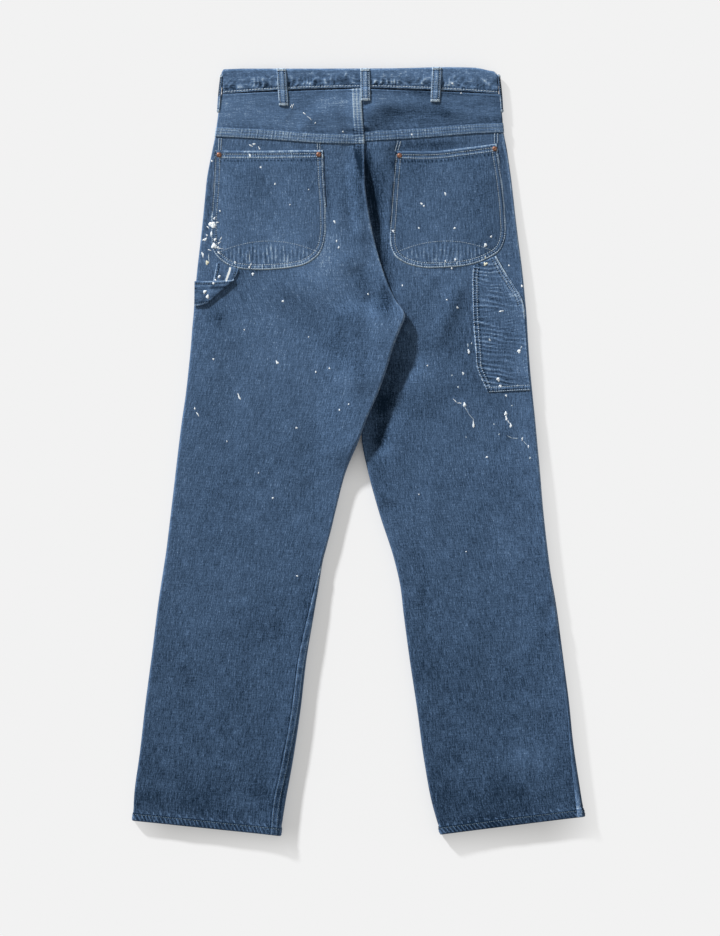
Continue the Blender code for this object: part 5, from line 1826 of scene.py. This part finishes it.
@dataclass
class HammerLoop(Part):
    """The strap on the left thigh: down from the pocket, folded on a slant, out to the side."""

    wall: float = 1.2
    rows: tuple[tuple[float, float, float, float, float], ...] = (
        (-198.6, 263.0, -167.6, 257.0, -1.2), (-199.8, 255.0, -168.6, 251.5, -0.4),
        (-203.0, 240.0, -171.6, 245.0, 0.1), (-208.0, 218.0, -174.6, 242.0, 0.2),
        (-210.8, 209.6, -174.6, 240.6, 0.4), (-211.8, 207.4, -174.0, 239.8, 1.1),
        (-213.0, 206.8, -177.6, 239.2, 2.1), (-218.0, 205.0, -192.0, 238.4, 2.2),
        (-224.0, 203.6, -208.0, 238.0, 1.7), (-229.8, 203.0, -229.4, 237.8, 1.0))

    def build(self) -> None:
        """Make the strap as one folded strip, and sew its two borders."""
        data = np.array(self.rows)
        keys = np.arange(len(data), dtype=float)
        table = np.column_stack([-keys, data])
        at = np.linspace(0, len(data) - 1, 96)
        ax, ay, bx, by, off = (through(table, -at, c + 1)[:, None] for c in range(5))
        _, u = shares(len(at), 26)
        x, y = mix(ax, bx, u), mix(ay, by, u)
        bed, _ = self.maker.drop(np.maximum(x, -226), y, ("back_left",))
        level = bed[..., 2]
        for _ in range(6):
            level[1:-1, 1:-1] = np.maximum(level[1:-1, 1:-1], (
                level[:-2, 1:-1] + level[2:, 1:-1] + level[1:-1, :-2] + level[1:-1, 2:]) / 4)
        rumple = Rumple(77)
        wave = 0.2 * rumple.at(x, y, 9, 14) + 0.2 * np.sin(math.pi * u)
        z = level + off * (0.6 + 0.6 * u) + 0.35 + self.wall / 2 + wave
        grid = woven(x, y, z)
        edge = np.minimum(u, 1 - u) * 33
        grid.tone = 0.04 + 0.46 * plateau(edge, 1.4) - 0.26 * bump(edge, 3.6, 1.2) + 0 * x
        turned = smooth((at[:, None] - 5.2) / 0.6)
        bands = bump(u, 0.80, 0.05) + 0.8 * bump(u, 0.62, 0.04) - bump(u, 0.71, 0.04)
        grid.tone += 0.18 * turned * (bands + rumple.at(x + 30, y, 22, 3.6))
        grid.tone += 0.12 * bump(edge, 6.0, 1.4) * (1 - turned)
        grid.tone += 0.14 * rumple.at(x, y + 40, 7, 9)
        grid.pull(grid.run(0), 0.20 * bump(edge, 3.4, 1.4))
        gap, _, _ = nearest(np.array([(-179.6, 256.0), (-185.2, 239.0)]), x, y)
        grid.tone += 2.4 * plateau(gap, 1.2) * (grid.run(0) < 32)
        self.maker.cloth("hammer_loop", grid, self.look.pocket, "denim", self.wall, centred=True)
        top = ("hammer_loop",)
        worn_thread = Thread(2.6, 0.5, 0.3, 0.15)
        self.sewing.along(((-228.5, 205.4), (-222, 206.0), (-214, 208.2)), top, worn_thread)
        self.sewing.along(((-228.5, 234.6), (-208, 235.0), (-190, 235.8)), top, worn_thread)
        self.sewing.along(((-196.8, 254), (-199.5, 241)), top)
        self.sewing.along(((-172.4, 250), (-174.0, 244)), top)
        self.sewing.finish("stitches_hammer_loop", self.look.faded)


@dataclass
class BeltLoops(Part):
    """Seven folded strips over the waistband: three on the back, two at the sides, two in front."""

    width: float = 13.0
    wall: float = 1.2
    arch: float = 0.8

    def build(self) -> None:
        """Make all seven."""
        self.flat("belt_loop_back_left", (-114.9, 535.4), (-111.5, 483.0))
        self.flat("belt_loop_back_centre", (2.2, 535.4), (3.1, 489.6))
        self.flat("belt_loop_back_right", (102.7, 537.2), (100.3, 488.2))
        for name, x in (("belt_loop_front_left", -98.0), ("belt_loop_front_right", 104.0)):
            self.under(name, x)
        self.side("belt_loop_side_left", Waistband.LEFT, 1)
        self.side("belt_loop_side_right", Waistband.RIGHT, -1)
        self.sewing.finish("stitches_belt_loops", self.look.thread)

    def dress(self, name: str, grid: Cloth, shade: Number = 0.0) -> None:
        """Round the strip's borders, and sew them and its ends.

        Args:
            name: The loop's name.
            grid: Its grid.
            shade: What its tone has besides.
        """
        side = np.minimum(grid.run(1), grid.left_over(1))
        end = np.minimum(grid.run(0), grid.left_over(0))
        grid.tone = 0.20 + 0.46 * plateau(side, 1.1) + 0.40 * plateau(end, 2.6)
        grid.tone -= 0.46 * bump(side, 2.5, 0.8) - 0.30 * bump(side, 6.5, 2.0) + shade
        grid.tone -= 0.4 * bump(end, 4.6, 1.0)
        grid.pull(grid.run(0), 0.22 * bump(side, 2.4, 1.2) + 0.14 * bump(side, 6.5, 1.4))
        grid.raise_by(0.35 * smooth((side - 2.6) / 2) - 0.45 * plateau(side, 0.8)
                      - 0.35 * bump(side, 2.1, 0.8) - 0.5 * plateau(end, 0.7))
        self.maker.cloth(name, grid, self.look.band, "denim", self.wall)
        for from_end in (False, True):
            points, facing = grid.line(2.3, 1, from_end)
            self.sewing.row(points[1:-1], facing[1:-1], Thread(radius=0.26, rise=0.15))
            for at in (1.5, 2.6, 3.6):
                points, facing = grid.line(at, 0, from_end)
                self.sewing.row(points[1:-1], facing[1:-1], Thread(1.3, 0.8, 0.5, 0.25))

    def flat(self, name: str, top: tuple[float, float], low: tuple[float, float]) -> None:
        """A loop that arches over the back of the waistband.

        Args:
            name: The loop's name.
            top: Its upper left corner.
            low: Its lower left corner.
        """
        v, u = shares(40, 20)
        x = mix(top[0], low[0], v) + self.width * u
        y = mix(top[1], low[1], v) + 0 * u
        bed, _ = self.maker.drop(x, np.minimum(y, 534.0), ("waistband", "yoke_left", "yoke_right"))
        level = bed[..., 2].max(axis=1, keepdims=True)
        for _ in range(4):
            level[1:-1] = np.maximum(level[1:-1], (level[:-2] + level[2:]) / 2)
        z = level + 0.25 + self.wall + self.arch * np.sin(math.pi * v) ** 0.8
        self.dress(name, woven(x, y, z))

    def under(self, name: str, x: float) -> None:
        """A loop under the front of the waistband, where the trousers rest on it."""
        v, u = shares(22, 10)
        self.dress(name, woven(x + self.width * u, mix(526, 474, v), 0 * u, -1.0))

    def side(self, name: str, edge: float, way: int) -> None:
        """A loop that bends round one side of the waist.

        Args:
            name: The loop's name.
            edge: Where the waistband bends.
            way: 1 on the left side, -1 on the right one.
        """
        high = float(Waistband.level(edge + 4 * way))
        radius, middle = (high - WAIST_LIFT) / 2, (high + WAIST_LIFT) / 2
        v, _ = shares(30, 16)
        turn = np.linspace(-0.36, 0.36, 16)[None] * math.pi
        turn = turn if way > 0 else turn[:, ::-1]
        stand = radius + 0.4 + self.wall + 0.7 * np.sin(math.pi * v)
        x = edge + way * radius - way * (stand * np.cos(turn) + 4.8 * v)
        z = np.maximum(middle + stand * np.sin(turn), 0.0)
        self.dress(name, woven(x, mix(527, 474, v), z), 0.5 * smooth((0.62 - v) / 0.1))


@dataclass
class Fastenings(Part):
    """The four rivets, the waist button and the fly's shield and stitching."""

    turns: int = 28
    rivets: tuple[tuple[str, float, float], ...] = (
        ("left_outer", -195.2, 414.5), ("left_inner", -56.0, 415.0),
        ("right_inner", 57.0, 413.5), ("right_outer", 190.0, 423.0))
    rivet_profile: Points = (
        (0.01, -0.5), (3.4, -0.5), (3.6, -0.1), (3.5, 0.2), (3.3, 0.3), (3.0, 0.2), (2.9, 0.5),
        (2.5, 0.95), (1.9, 1.25), (1.3, 1.3), (1.0, 1.12), (0.5, 1.02), (0.01, 1.0))
    button_profile: Points = (
        (0.01, 0.0), (7.4, 0.0), (8.3, -0.4), (8.5, -1.0), (8.1, -1.7), (7.2, -2.0),
        (6.3, -1.85), (5.8, -1.3), (5.0, -1.15), (2.4, -1.2), (1.8, -1.5), (0.9, -1.7),
        (0.01, -1.7))

    def build(self) -> None:
        """Make them all."""
        for place, x, y in self.rivets:
            spot = np.array([[x - 2.5, x, x + 2.5, x, x]]), np.array([[y, y - 2.5, y, y + 2.5, y]])
            seat = self.maker.drop(*spot, ("pocket_left", "pocket_right"))[0][..., 2].max()
            self.turned(f"rivet_{place}", (x, y, float(seat) + 0.05), self.rivet_profile,
                        self.look.copper, "copper")
        self.turned("waist_button", (6.0, 509.0, 2.0), self.button_profile, self.look.brass,
                    "button_brass")
        self.shield()
        for off in (0.0, 5.5):
            line = [(-34 + off, 486), (-34 + off, 440), (-33 + off, 396), (-28 + off * 0.8, 372),
                    (-16 + off * 0.6, 354 + off * 0.6), (1, 346 + off)]
            self.sewing.along(line, ("front_left",), way=1.0)
        self.sewing.finish("stitches_fly", self.look.thread)

    def turned(self, name: str, place: Vector3, profile: Points, finish: Material,
               slot: str) -> None:
        """A round metal piece from its profile.

        Args:
            name: The node that it stands for.
            place: Its centre.
            profile: Radius and height of each ring.
            finish: Its material.
            slot: The record's material slot.
        """
        angle = np.arange(self.turns) * TURN / self.turns
        rings = [np.column_stack([place[0] + r * np.cos(angle), place[1] + r * np.sin(angle),
                                  np.full(self.turns, place[2] + h)]) for r, h in profile]
        i, j = np.meshgrid(np.arange(len(profile) - 1), np.arange(self.turns), indexing="ij")
        a, b = i * self.turns + j, i * self.turns + (j + 1) % self.turns
        quads = np.stack([a, b, b + self.turns, a + self.turns], axis=2).reshape(-1, 4)
        if profile[0][1] > profile[-1][1]:
            quads = quads[:, ::-1]
        self.maker.mesh(name + "_metal", np.concatenate(rings), quads, finish, (name,), slot)

    def shield(self) -> None:
        """The strip behind the fly, inside the waist."""
        y = spaced((485, 4.0), (350, 0))[:, None]
        x, y = np.broadcast_arrays(np.linspace(-16, 24, 12)[None], y)
        bed, _ = self.maker.drop(x, y, ("front_left", "front_right"), miss=3.4)
        bed[..., 2] = np.maximum(bed[..., 2].max(axis=1, keepdims=True), 1.0) + 0.9
        grid = Cloth(bed)
        grid.tone = 0.05 + 0 * x
        self.maker.cloth("fly_shield", grid, self.look.inside, "denim_dark", 0.7)


class Splash(Enum):
    """What a mark of paint is made of."""

    WHITE = "white"
    CREAM = "cream"
    THIN = "thin"


@dataclass(frozen=True)
class Mark:
    """One splash of paint: its place, its size across and along, and how far it leans."""

    x: float
    y: float
    across: float
    along: float
    lean: float = 0.0        # degrees from upright, turning left
    tail: float = 0.0        # how far one end is drawn out, as a share of its length
    rise: float = 0.34


# The marks on the back, by what they are made of: place, size and, where they differ from a
# plain one, lean, tail and rise.
MARKS = {
    Splash.WHITE: (
        # By the left seat pocket.
        (-204, 317, 8.5, 10.5, 20, 0.1, 0.8), (-206, 304, 2.6, 8, -10, 0.5), (-201, 296, 3.6, 4.4),
        (-202, 287, 7.5, 9.5, 25, 0.5, 0.7), (-197, 285, 2.6, 3), (-195, 291.5, 1.4, 6.5, -50, 0.6),
        (-193.6, 283.6, 1.3, 7, -98, 0.6), (-195.4, 277.6, 1.6, 6.4, -140, 0.6),
        (-208.4, 281.4, 1.4, 5.6, 64, 0.6), (-193, 297, 1.2, 5.4, -34, 0.5),
        (-201.6, 325.6, 2.4, 5, -20, 0.4), (-197.6, 320, 1.4, 5.4, -80, 0.5),
        (-210.6, 313, 1.6, 6, 40, 0.5), (-215, 296, 3.4, 7.5, -60, 0.4), (-212, 302, 2, 3),
        (-218, 275, 3.4, 7, 10, 0.4), (-173, 264, 2.2, 3.4), (-151.2, 260.6, 1.1, 5.6, -32),
        (-152.8, 257.4, 2.4, 3, 30), (-148, 248, 3.6, 3.8), (-151, 427.6, 2.2, 5.4, 62, 0.3),
        (-146.4, 429.6, 2, 5, 96, 0.3), (-139, 424, 1.8, 5, 15), (-152, 413, 2.4, 6.5, 5),
        (-205, 406, 2.4, 3.4), (-137, 397, 2.6, 3.4, 30), (-117, 374, 2.2, 3),
        (-194, 336, 2.6, 2.6), (-94.6, 482.6, 1, 6, -20), (-92.2, 482.9, 1, 6, -20),
        (-76.2, 472.4, 1.5, 4.4, 55), (-68.5, 465.5, 0.9, 8, 48), (-60.8, 459, 1.6, 2),
        (-22, 447, 2.2, 2.4), (-34, 321, 2.4, 4.4, 20), (-31, 294, 2.2, 3.2), (-28, 285, 2, 3.4),
        (-96, 345, 1.6, 2), (-70, 366, 1.5, 2),
        # On the strap and beside it.
        (-215, 223, 5.2, 4.4, 30, 0.3, 0.7), (-211, 216, 4.2, 6, 15, 0.4, 0.7),
        (-203, 235, 2.8, 3.6), (-200, 239.5, 2.4, 3), (-195, 244, 5, 3.2, 25, 0.4, 0.6),
        # On the waist and the right half of the seat.
        (74, 443, 2.6, 3), (131, 514, 2.2, 2.6), (143, 501, 2.4, 2.4), (121, 360, 2.6, 4, 20),
        (88, 346, 3, 3.4), (91, 343, 2, 2.4), (48, 308, 3, 3.6), (84, 312, 2.2, 3),
        (134, 312, 3.4, 2.6, 40, 0.4), (185, 300, 2.6, 2.8), (177, 288, 6.2, 4, 30, 0.3, 0.6),
        (135, 268, 3, 3), (121, 266, 2.2, 3.4), (130, 256, 2.8, 2.6), (210, 260, 2.2, 2.4),
        # On the right thigh and the tool pocket.
        (228, 231, 3.2, 3.6), (138, 201, 2.6, 3), (199, 196, 2, 6.5, -82, 0.2, 0.3),
        (224, 140, 5.6, 4.6, 20, 0.2, 0.6), (153.8, 139.6, 3.8, 6, 16, 0.3, 0.4),
        (146, 109, 3.2, 3.6), (195, 100.6, 4, 6.4, -8, 0.6, 0.6), (198, 91.4, 3.8, 4.2, 30),
        (206, 78, 2.4, 3.4), (134.4, 70.9, 1, 7.4, 46, 0.2, 0.25),
        (140.8, 67.6, 1.1, 6.4, 82, 0.2, 0.25), (148, 65, 5, 5.6, 20, 0.3, 0.6),
        (160.4, 37.4, 3.6, 9, 4, 0.9, 0.6), (205.4, 53, 4.8, 5, 0, 0.2, 0.6),
        (206.2, 46.6, 3.4, 6.4, 8, 0.2, 0.25), (209.6, 41, 1, 7, 32, 0.1, 0.25),
        (212.4, 36.2, 3.4, 6.2, 10, 0.8), (228.4, 17.6, 1.8, 4.6, -12), (237, 6.8, 1.8, 4),
        (179, -8, 2.6, 3), (13, 220, 2.2, 3.2), (61, 232, 2, 2.6), (123, 212, 2, 2.6),
        (96, 120, 1.8, 2.2),
        # Down the left leg.
        (-106, 210, 2.8, 3.6), (-203, 129, 2.6, 3), (-114, 124, 4, 5, 10, 0.2, 0.5),
        (-167, 76, 3, 8, 25, 0.4), (-229, 60, 2, 4), (-225, 52, 1.8, 7, 30, 0.4),
        (-60, 111, 2.4, 2.8), (-41, 116, 2.2, 2.6), (-27, 58, 2.2, 2.6), (-14, 66, 1.6, 2.6),
        (-87, 33, 2.4, 2.8), (-120, -65, 2.4, 2.8), (-86, -174, 2.6, 2.6), (-184, 14, 1.6, 2),
        (-140, -30, 1.5, 2), (-160, 170, 1.7, 2.2), (-70, 160, 1.5, 2), (84, -60, 1.6, 2),
        (150, -140, 1.7, 2)),
    Splash.CREAM: (
        (-211.8, 263.8, 4.6, 6.2, 20, 0.5, 0.5), (177, 262, 5, 5, 0, 0.1, 0.6),
        (177, 271, 2.4, 2.6, 0, 0, 0.4)),
    Splash.THIN: (
        (-209.6, 270.5, 1.3, 11, 2, 0.4, 0.25), (-152.8, 270.8, 1.1, 13, 1, 0.3, 0.25),
        (183, 156, 2, 5, 30, 0.2, 0.25), (227, 145.4, 1.5, 5, -16, 0.3, 0.25),
        (152.6, 148.4, 1.5, 5.4, 6, 0, 0.25), (157.6, 151, 1.6, 2.6, 0, 0, 0.25),
        (139, 90, 2.6, 3, 0, 0, 0.2), (130.4, 106.4, 2, 2.4, 0, 0, 0.2),
        (151, 57.4, 0.9, 10, 31, 0.1, 0.25), (157, 48.6, 0.9, 10, 41, 0.1, 0.25),
        (189, 38, 1.8, 2.2, 0, 0, 0.2), (210.6, 20.4, 0.9, 8, 62, 0, 0.2),
        (218.6, 18.4, 0.9, 8, 84, 0, 0.2), (232.6, 11.6, 0.9, 8, 40, 0, 0.2),
        (239.4, -9, 2, 3.6, 0, 0, 0.25), (222, 92, 1.8, 2.4), (170, 120, 1.6, 2), (214, 64, 1.6, 2),
        (196, 24, 1.6, 2.2), (150, 20, 1.5, 2)),
}
# The same brush also spattered the front, where the trousers lie on it.
UNDER_MARKS = (
    (-150, 120, 4, 6, 20, 0.4), (-96, 60, 3, 3.6), (-180, -40, 3, 5, 10, 0.5),
    (130, 150, 5, 5, 0, 0.2), (170, 40, 3, 7, -15, 0.6), (90, -30, 2.6, 3), (200, 210, 3, 4, 30),
    (-60, 300, 3, 3.6), (110, 330, 3.4, 4, 20, 0.3), (-210, 260, 3, 8, 5, 0.7), (60, 240, 2.6, 3),
    (180, -180, 3, 3.4))


@dataclass
class Spatter:
    """Dried splashes of paint, as thin raised crusts on the cloth."""

    maker: Maker
    look: Finishes
    rings: int = 5
    turns: int = 16

    def build(self) -> None:
        """Lay every mark on whatever is on top there."""
        over = [name for name in self.maker.trees if name != "fly_shield"]
        random = np.random.default_rng(8)
        for kind, finish in ((Splash.WHITE, self.look.white), (Splash.CREAM, self.look.cream),
                             (Splash.THIN, self.look.thin)):
            crusts = [self.crust(Mark(*row), over, -1.0, random) for row in MARKS[kind]]
            if kind is Splash.WHITE:
                fronts = ("front_left", "front_right")
                crusts += [self.crust(Mark(*row), fronts, 1.0, random) for row in UNDER_MARKS]
            self.join(f"paint_{kind.value}", crusts, finish)

    def crust(self, mark: Mark, onto: Iterable[str], way: float,
              random: np.random.Generator) -> Array:
        """Points of one mark, ring by ring from its middle.

        Args:
            mark: The mark.
            onto: What it lies on.
            way: -1 on the back, 1 on the front.
            random: Source of its ragged outline.

        Returns:
            The points.
        """
        share = np.linspace(0.04, 1.0, self.rings)[:, None]
        angle = (np.arange(self.turns) * TURN / self.turns)[None]
        ragged = 1 + 0.16 * np.sin(2 * angle + random.uniform(0, 6))
        ragged = ragged + 0.20 * np.sin(3 * angle + random.uniform(0, 6))
        ragged = ragged + random.normal(0, 0.11, (1, self.turns))
        u = mark.across / 2 * share * ragged * np.cos(angle)
        v = mark.along / 2 * share * ragged * np.sin(angle)
        pull = np.clip(v / (mark.along / 2), 0, 1.4)
        u = u * (1 - 0.75 * mark.tail * pull)
        v = v * (1 + 0.35 * mark.tail * pull)
        lean = math.radians(mark.lean)
        x = mark.x + u * math.cos(lean) - v * math.sin(lean)
        y = mark.y + u * math.sin(lean) + v * math.cos(lean)
        points, normals = self.maker.drop(x, y, onto, way)
        height = mark.rise * (1 - share ** 3) * (1 + 0.25 * random.normal(0, 1, points.shape[:2]))
        height = np.maximum(height, 0.0) + 0.04 - 0.12 * (share > 0.99)    # its rim dips in
        points = points + normals * height[..., None]
        points[..., 2] = np.maximum(points[..., 2], 0.0)
        return points

    def join(self, name: str, crusts: Sequence[Array], finish: Material) -> None:
        """One piece of many marks.

        Args:
            name: The piece's name.
            crusts: Points of each mark.
            finish: Its material.
        """
        n, turns = self.turns, np.arange(self.turns)
        quads = [np.column_stack([r * n + turns, (r + 1) * n + turns,
                                  (r + 1) * n + (turns + 1) % n, r * n + (turns + 1) % n])
                 for r in range(self.rings - 1)]
        lids = [[0, 2 * k + 1, 2 * k + 2, 2 * k + 3] for k in range((n - 2) // 2)]
        faces = np.vstack([*quads, lids])
        step = self.rings * n
        every = np.vstack([faces + i * step for i in range(len(crusts))])
        self.maker.mesh(name, np.stack(crusts), every, finish)


@dataclass(frozen=True)
class Cut:
    """How one piece was cut flat: its greatest width and length, and its area, in metres."""

    width: float
    length: float
    area: float
    rests_on: tuple[str, ...]


CUTS = {
    "front_left": Cut(0.300, 1.040, 0.215, ()),
    "front_right": Cut(0.300, 1.040, 0.215, ()),
    "back_left": Cut(0.340, 0.980, 0.235, ("front_left", "back_right")),
    "back_right": Cut(0.330, 0.980, 0.235, ("front_right",)),
    "yoke_left": Cut(0.225, 0.080, 0.0145, ("front_left", "back_left")),
    "yoke_right": Cut(0.225, 0.080, 0.0145, ("front_right", "back_right")),
    "waistband": Cut(0.820, 0.036, 0.0270, ("yoke_left", "yoke_right")),
    "pocket_left": Cut(0.162, 0.169, 0.0240, ("back_left",)),
    "pocket_right": Cut(0.164, 0.174, 0.0245, ("back_right",)),
    "tool_pocket": Cut(0.082, 0.192, 0.0105, ("back_right",)),
    "hammer_loop": Cut(0.034, 0.100, 0.0030, ("back_left",)),
    "fly_shield": Cut(0.040, 0.135, 0.0054, ("front_left", "front_right")),
}
# Length and area of each belt loop.
LOOPS = {"back_left": (0.054, 0.00069), "back_centre": (0.046, 0.00059),
         "back_right": (0.050, 0.00064), "front_left": (0.052, 0.00067),
         "front_right": (0.052, 0.00067), "side_left": (0.052, 0.00067),
         "side_right": (0.052, 0.00067)}
CUTS |= {f"belt_loop_{place}": Cut(0.013, length, area, ("waistband",))
         for place, (length, area) in LOOPS.items()}


@dataclass
class Studio:
    """A pale floor, soft light from the upper left, and the camera above."""

    height: float = 6.0
    sun_share: float = 0.60      # of the light that reaches the floor
    sun_rise: float = 19.5       # degrees above the horizon
    sun_from: tuple[float, float] = (-0.61, 0.79)
    sun_size: float = 4.4
    sky: Vector3 = (1.0, 0.985, 0.955)
    lens: float = 164.9
    aim: tuple[float, float] = (0.00175, -0.0231)
    floor_reach: float = 9.0
    floor_level: float = -0.0003
    floor_lines: int = 7

    def build(self) -> None:
        """Set them all up."""
        self.floor()
        self.light()
        self.camera()

    def floor(self) -> None:
        """A wide floor just under the trousers."""
        n = self.floor_lines
        steps = np.linspace(-self.floor_reach, self.floor_reach, n)
        points = [(x, y, self.floor_level) for y in steps for x in steps]
        faces = [(j * n + i, j * n + i + 1, (j + 1) * n + i + 1, (j + 1) * n + i)
                 for j in range(n - 1) for i in range(n - 1)]
        mesh = bpy.data.meshes.new("floor")
        mesh.from_pydata(points, [], faces)
        mesh.materials.append(PaleFloor().material())
        floor = bpy.data.objects.new("floor", mesh)
        bpy.context.scene.collection.objects.link(floor)

    def light(self) -> None:
        """One soft sun low on the upper left, and an even sky."""
        lamp = bpy.data.lights.new("sun", "SUN")
        rise = math.radians(self.sun_rise)
        lamp.energy = self.sun_share * math.pi / math.sin(rise)
        lamp.color = tuple((1 - (1 - self.sun_share) * c) / self.sun_share for c in self.sky)
        lamp.angle = math.radians(self.sun_size)
        sun = bpy.data.objects.new("sun", lamp)
        flat = Vector((-self.sun_from[0], -self.sun_from[1])).normalized() * math.cos(rise)
        aim = Vector((flat.x, flat.y, -math.sin(rise)))
        sun.rotation_euler = aim.to_track_quat("-Z", "Y").to_euler()
        bpy.context.scene.collection.objects.link(sun)
        world = bpy.data.worlds.new("sky")
        bpy.context.scene.world = world
        world.use_nodes = True
        sky = world.node_tree.nodes["Background"]
        sky.inputs["Color"].default_value = (*self.sky, 1.0)
        sky.inputs["Strength"].default_value = 1 - self.sun_share

    def camera(self) -> None:
        """A long lens straight above."""
        lens = bpy.data.cameras.new("camera")
        lens.lens = self.lens
        lens.sensor_width = 36.0
        lens.clip_end = 50.0
        camera = bpy.data.objects.new("camera", lens)
        camera.location = (*self.aim, self.height)
        bpy.context.scene.collection.objects.link(camera)
        bpy.context.scene.camera = camera


def report(pieces: Iterable[Object]) -> None:
    """Log how many triangles each piece has once its cloth has its thickness.

    Args:
        pieces: The pieces, in the order in which they were made.
    """
    graph, total = bpy.context.evaluated_depsgraph_get(), 0
    for piece in pieces:
        faces = piece.evaluated_get(graph).to_mesh().polygons
        count = sum(len(face.vertices) - 2 for face in faces)
        total += count
        LOG.info("%s: %d triangles", piece.name, count)
    LOG.info("in all %d triangles", total)


def main() -> None:
    """Build the trousers piece by piece, then the studio."""
    logging.basicConfig(level=logging.INFO, format="%(message)s")
    bpy.context.scene.view_settings.view_transform = "Standard"
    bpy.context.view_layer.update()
    look = Finishes(
        cloth=Denim("denim_leg").material(), pocket=Denim("denim_pocket").material(),
        band=Denim("denim_band", contrast=0.82, flecked=0.05).material(),
        inside=Denim("denim_inside", level=0.46).material(),
        thread=Cotton("cotton_thread").material(),
        faded=Cotton("cotton_faded", (0.04, 0.08, 0.12), (0.20, 0.28, 0.35)).material(),
        white=DriedPaint("paint_white").material(),
        cream=DriedPaint("paint_cream", (0.74, 0.72, 0.56), (0.42, 0.44, 0.38)).material(),
        thin=DriedPaint("paint_thin", (0.50, 0.58, 0.64), (0.16, 0.25, 0.34)).material(),
        copper=OldMetal("old_copper").material(),
        brass=OldMetal("old_brass", (0.62, 0.45, 0.20), (0.18, 0.12, 0.05)).material())
    maker = Maker()
    sewing = Sewing(maker)
    right = RightHalf(RIGHT_YOKE, RIGHT_FRONT_TOP, RIGHT_LEG, RIGHT_PLUMP, RIGHT_CREASES,
                      RIGHT_WEAR_AND_SHADE, 12)
    left = LeftHalf(right, LEFT_YOKE, LEFT_FRONT_TOP, LEFT_LEG, LEFT_PLUMP, LEFT_CREASES,
                    LEFT_WEAR_AND_SHADE, 21)
    Legs(maker, sewing, look, right, left).build()
    Waistband(maker, sewing, look).build()
    for cut in (LEFT_POCKET, RIGHT_POCKET):
        SeatPocket(maker, sewing, look, cut).build()
    ToolPocket(maker, sewing, look).build()
    HammerLoop(maker, sewing, look).build()
    BeltLoops(maker, sewing, look).build()
    Fastenings(maker, sewing, look).build()
    Spatter(maker, look).build()
    Studio().build()
    report(maker.made.values())


if __name__ == "__main__":
    main()
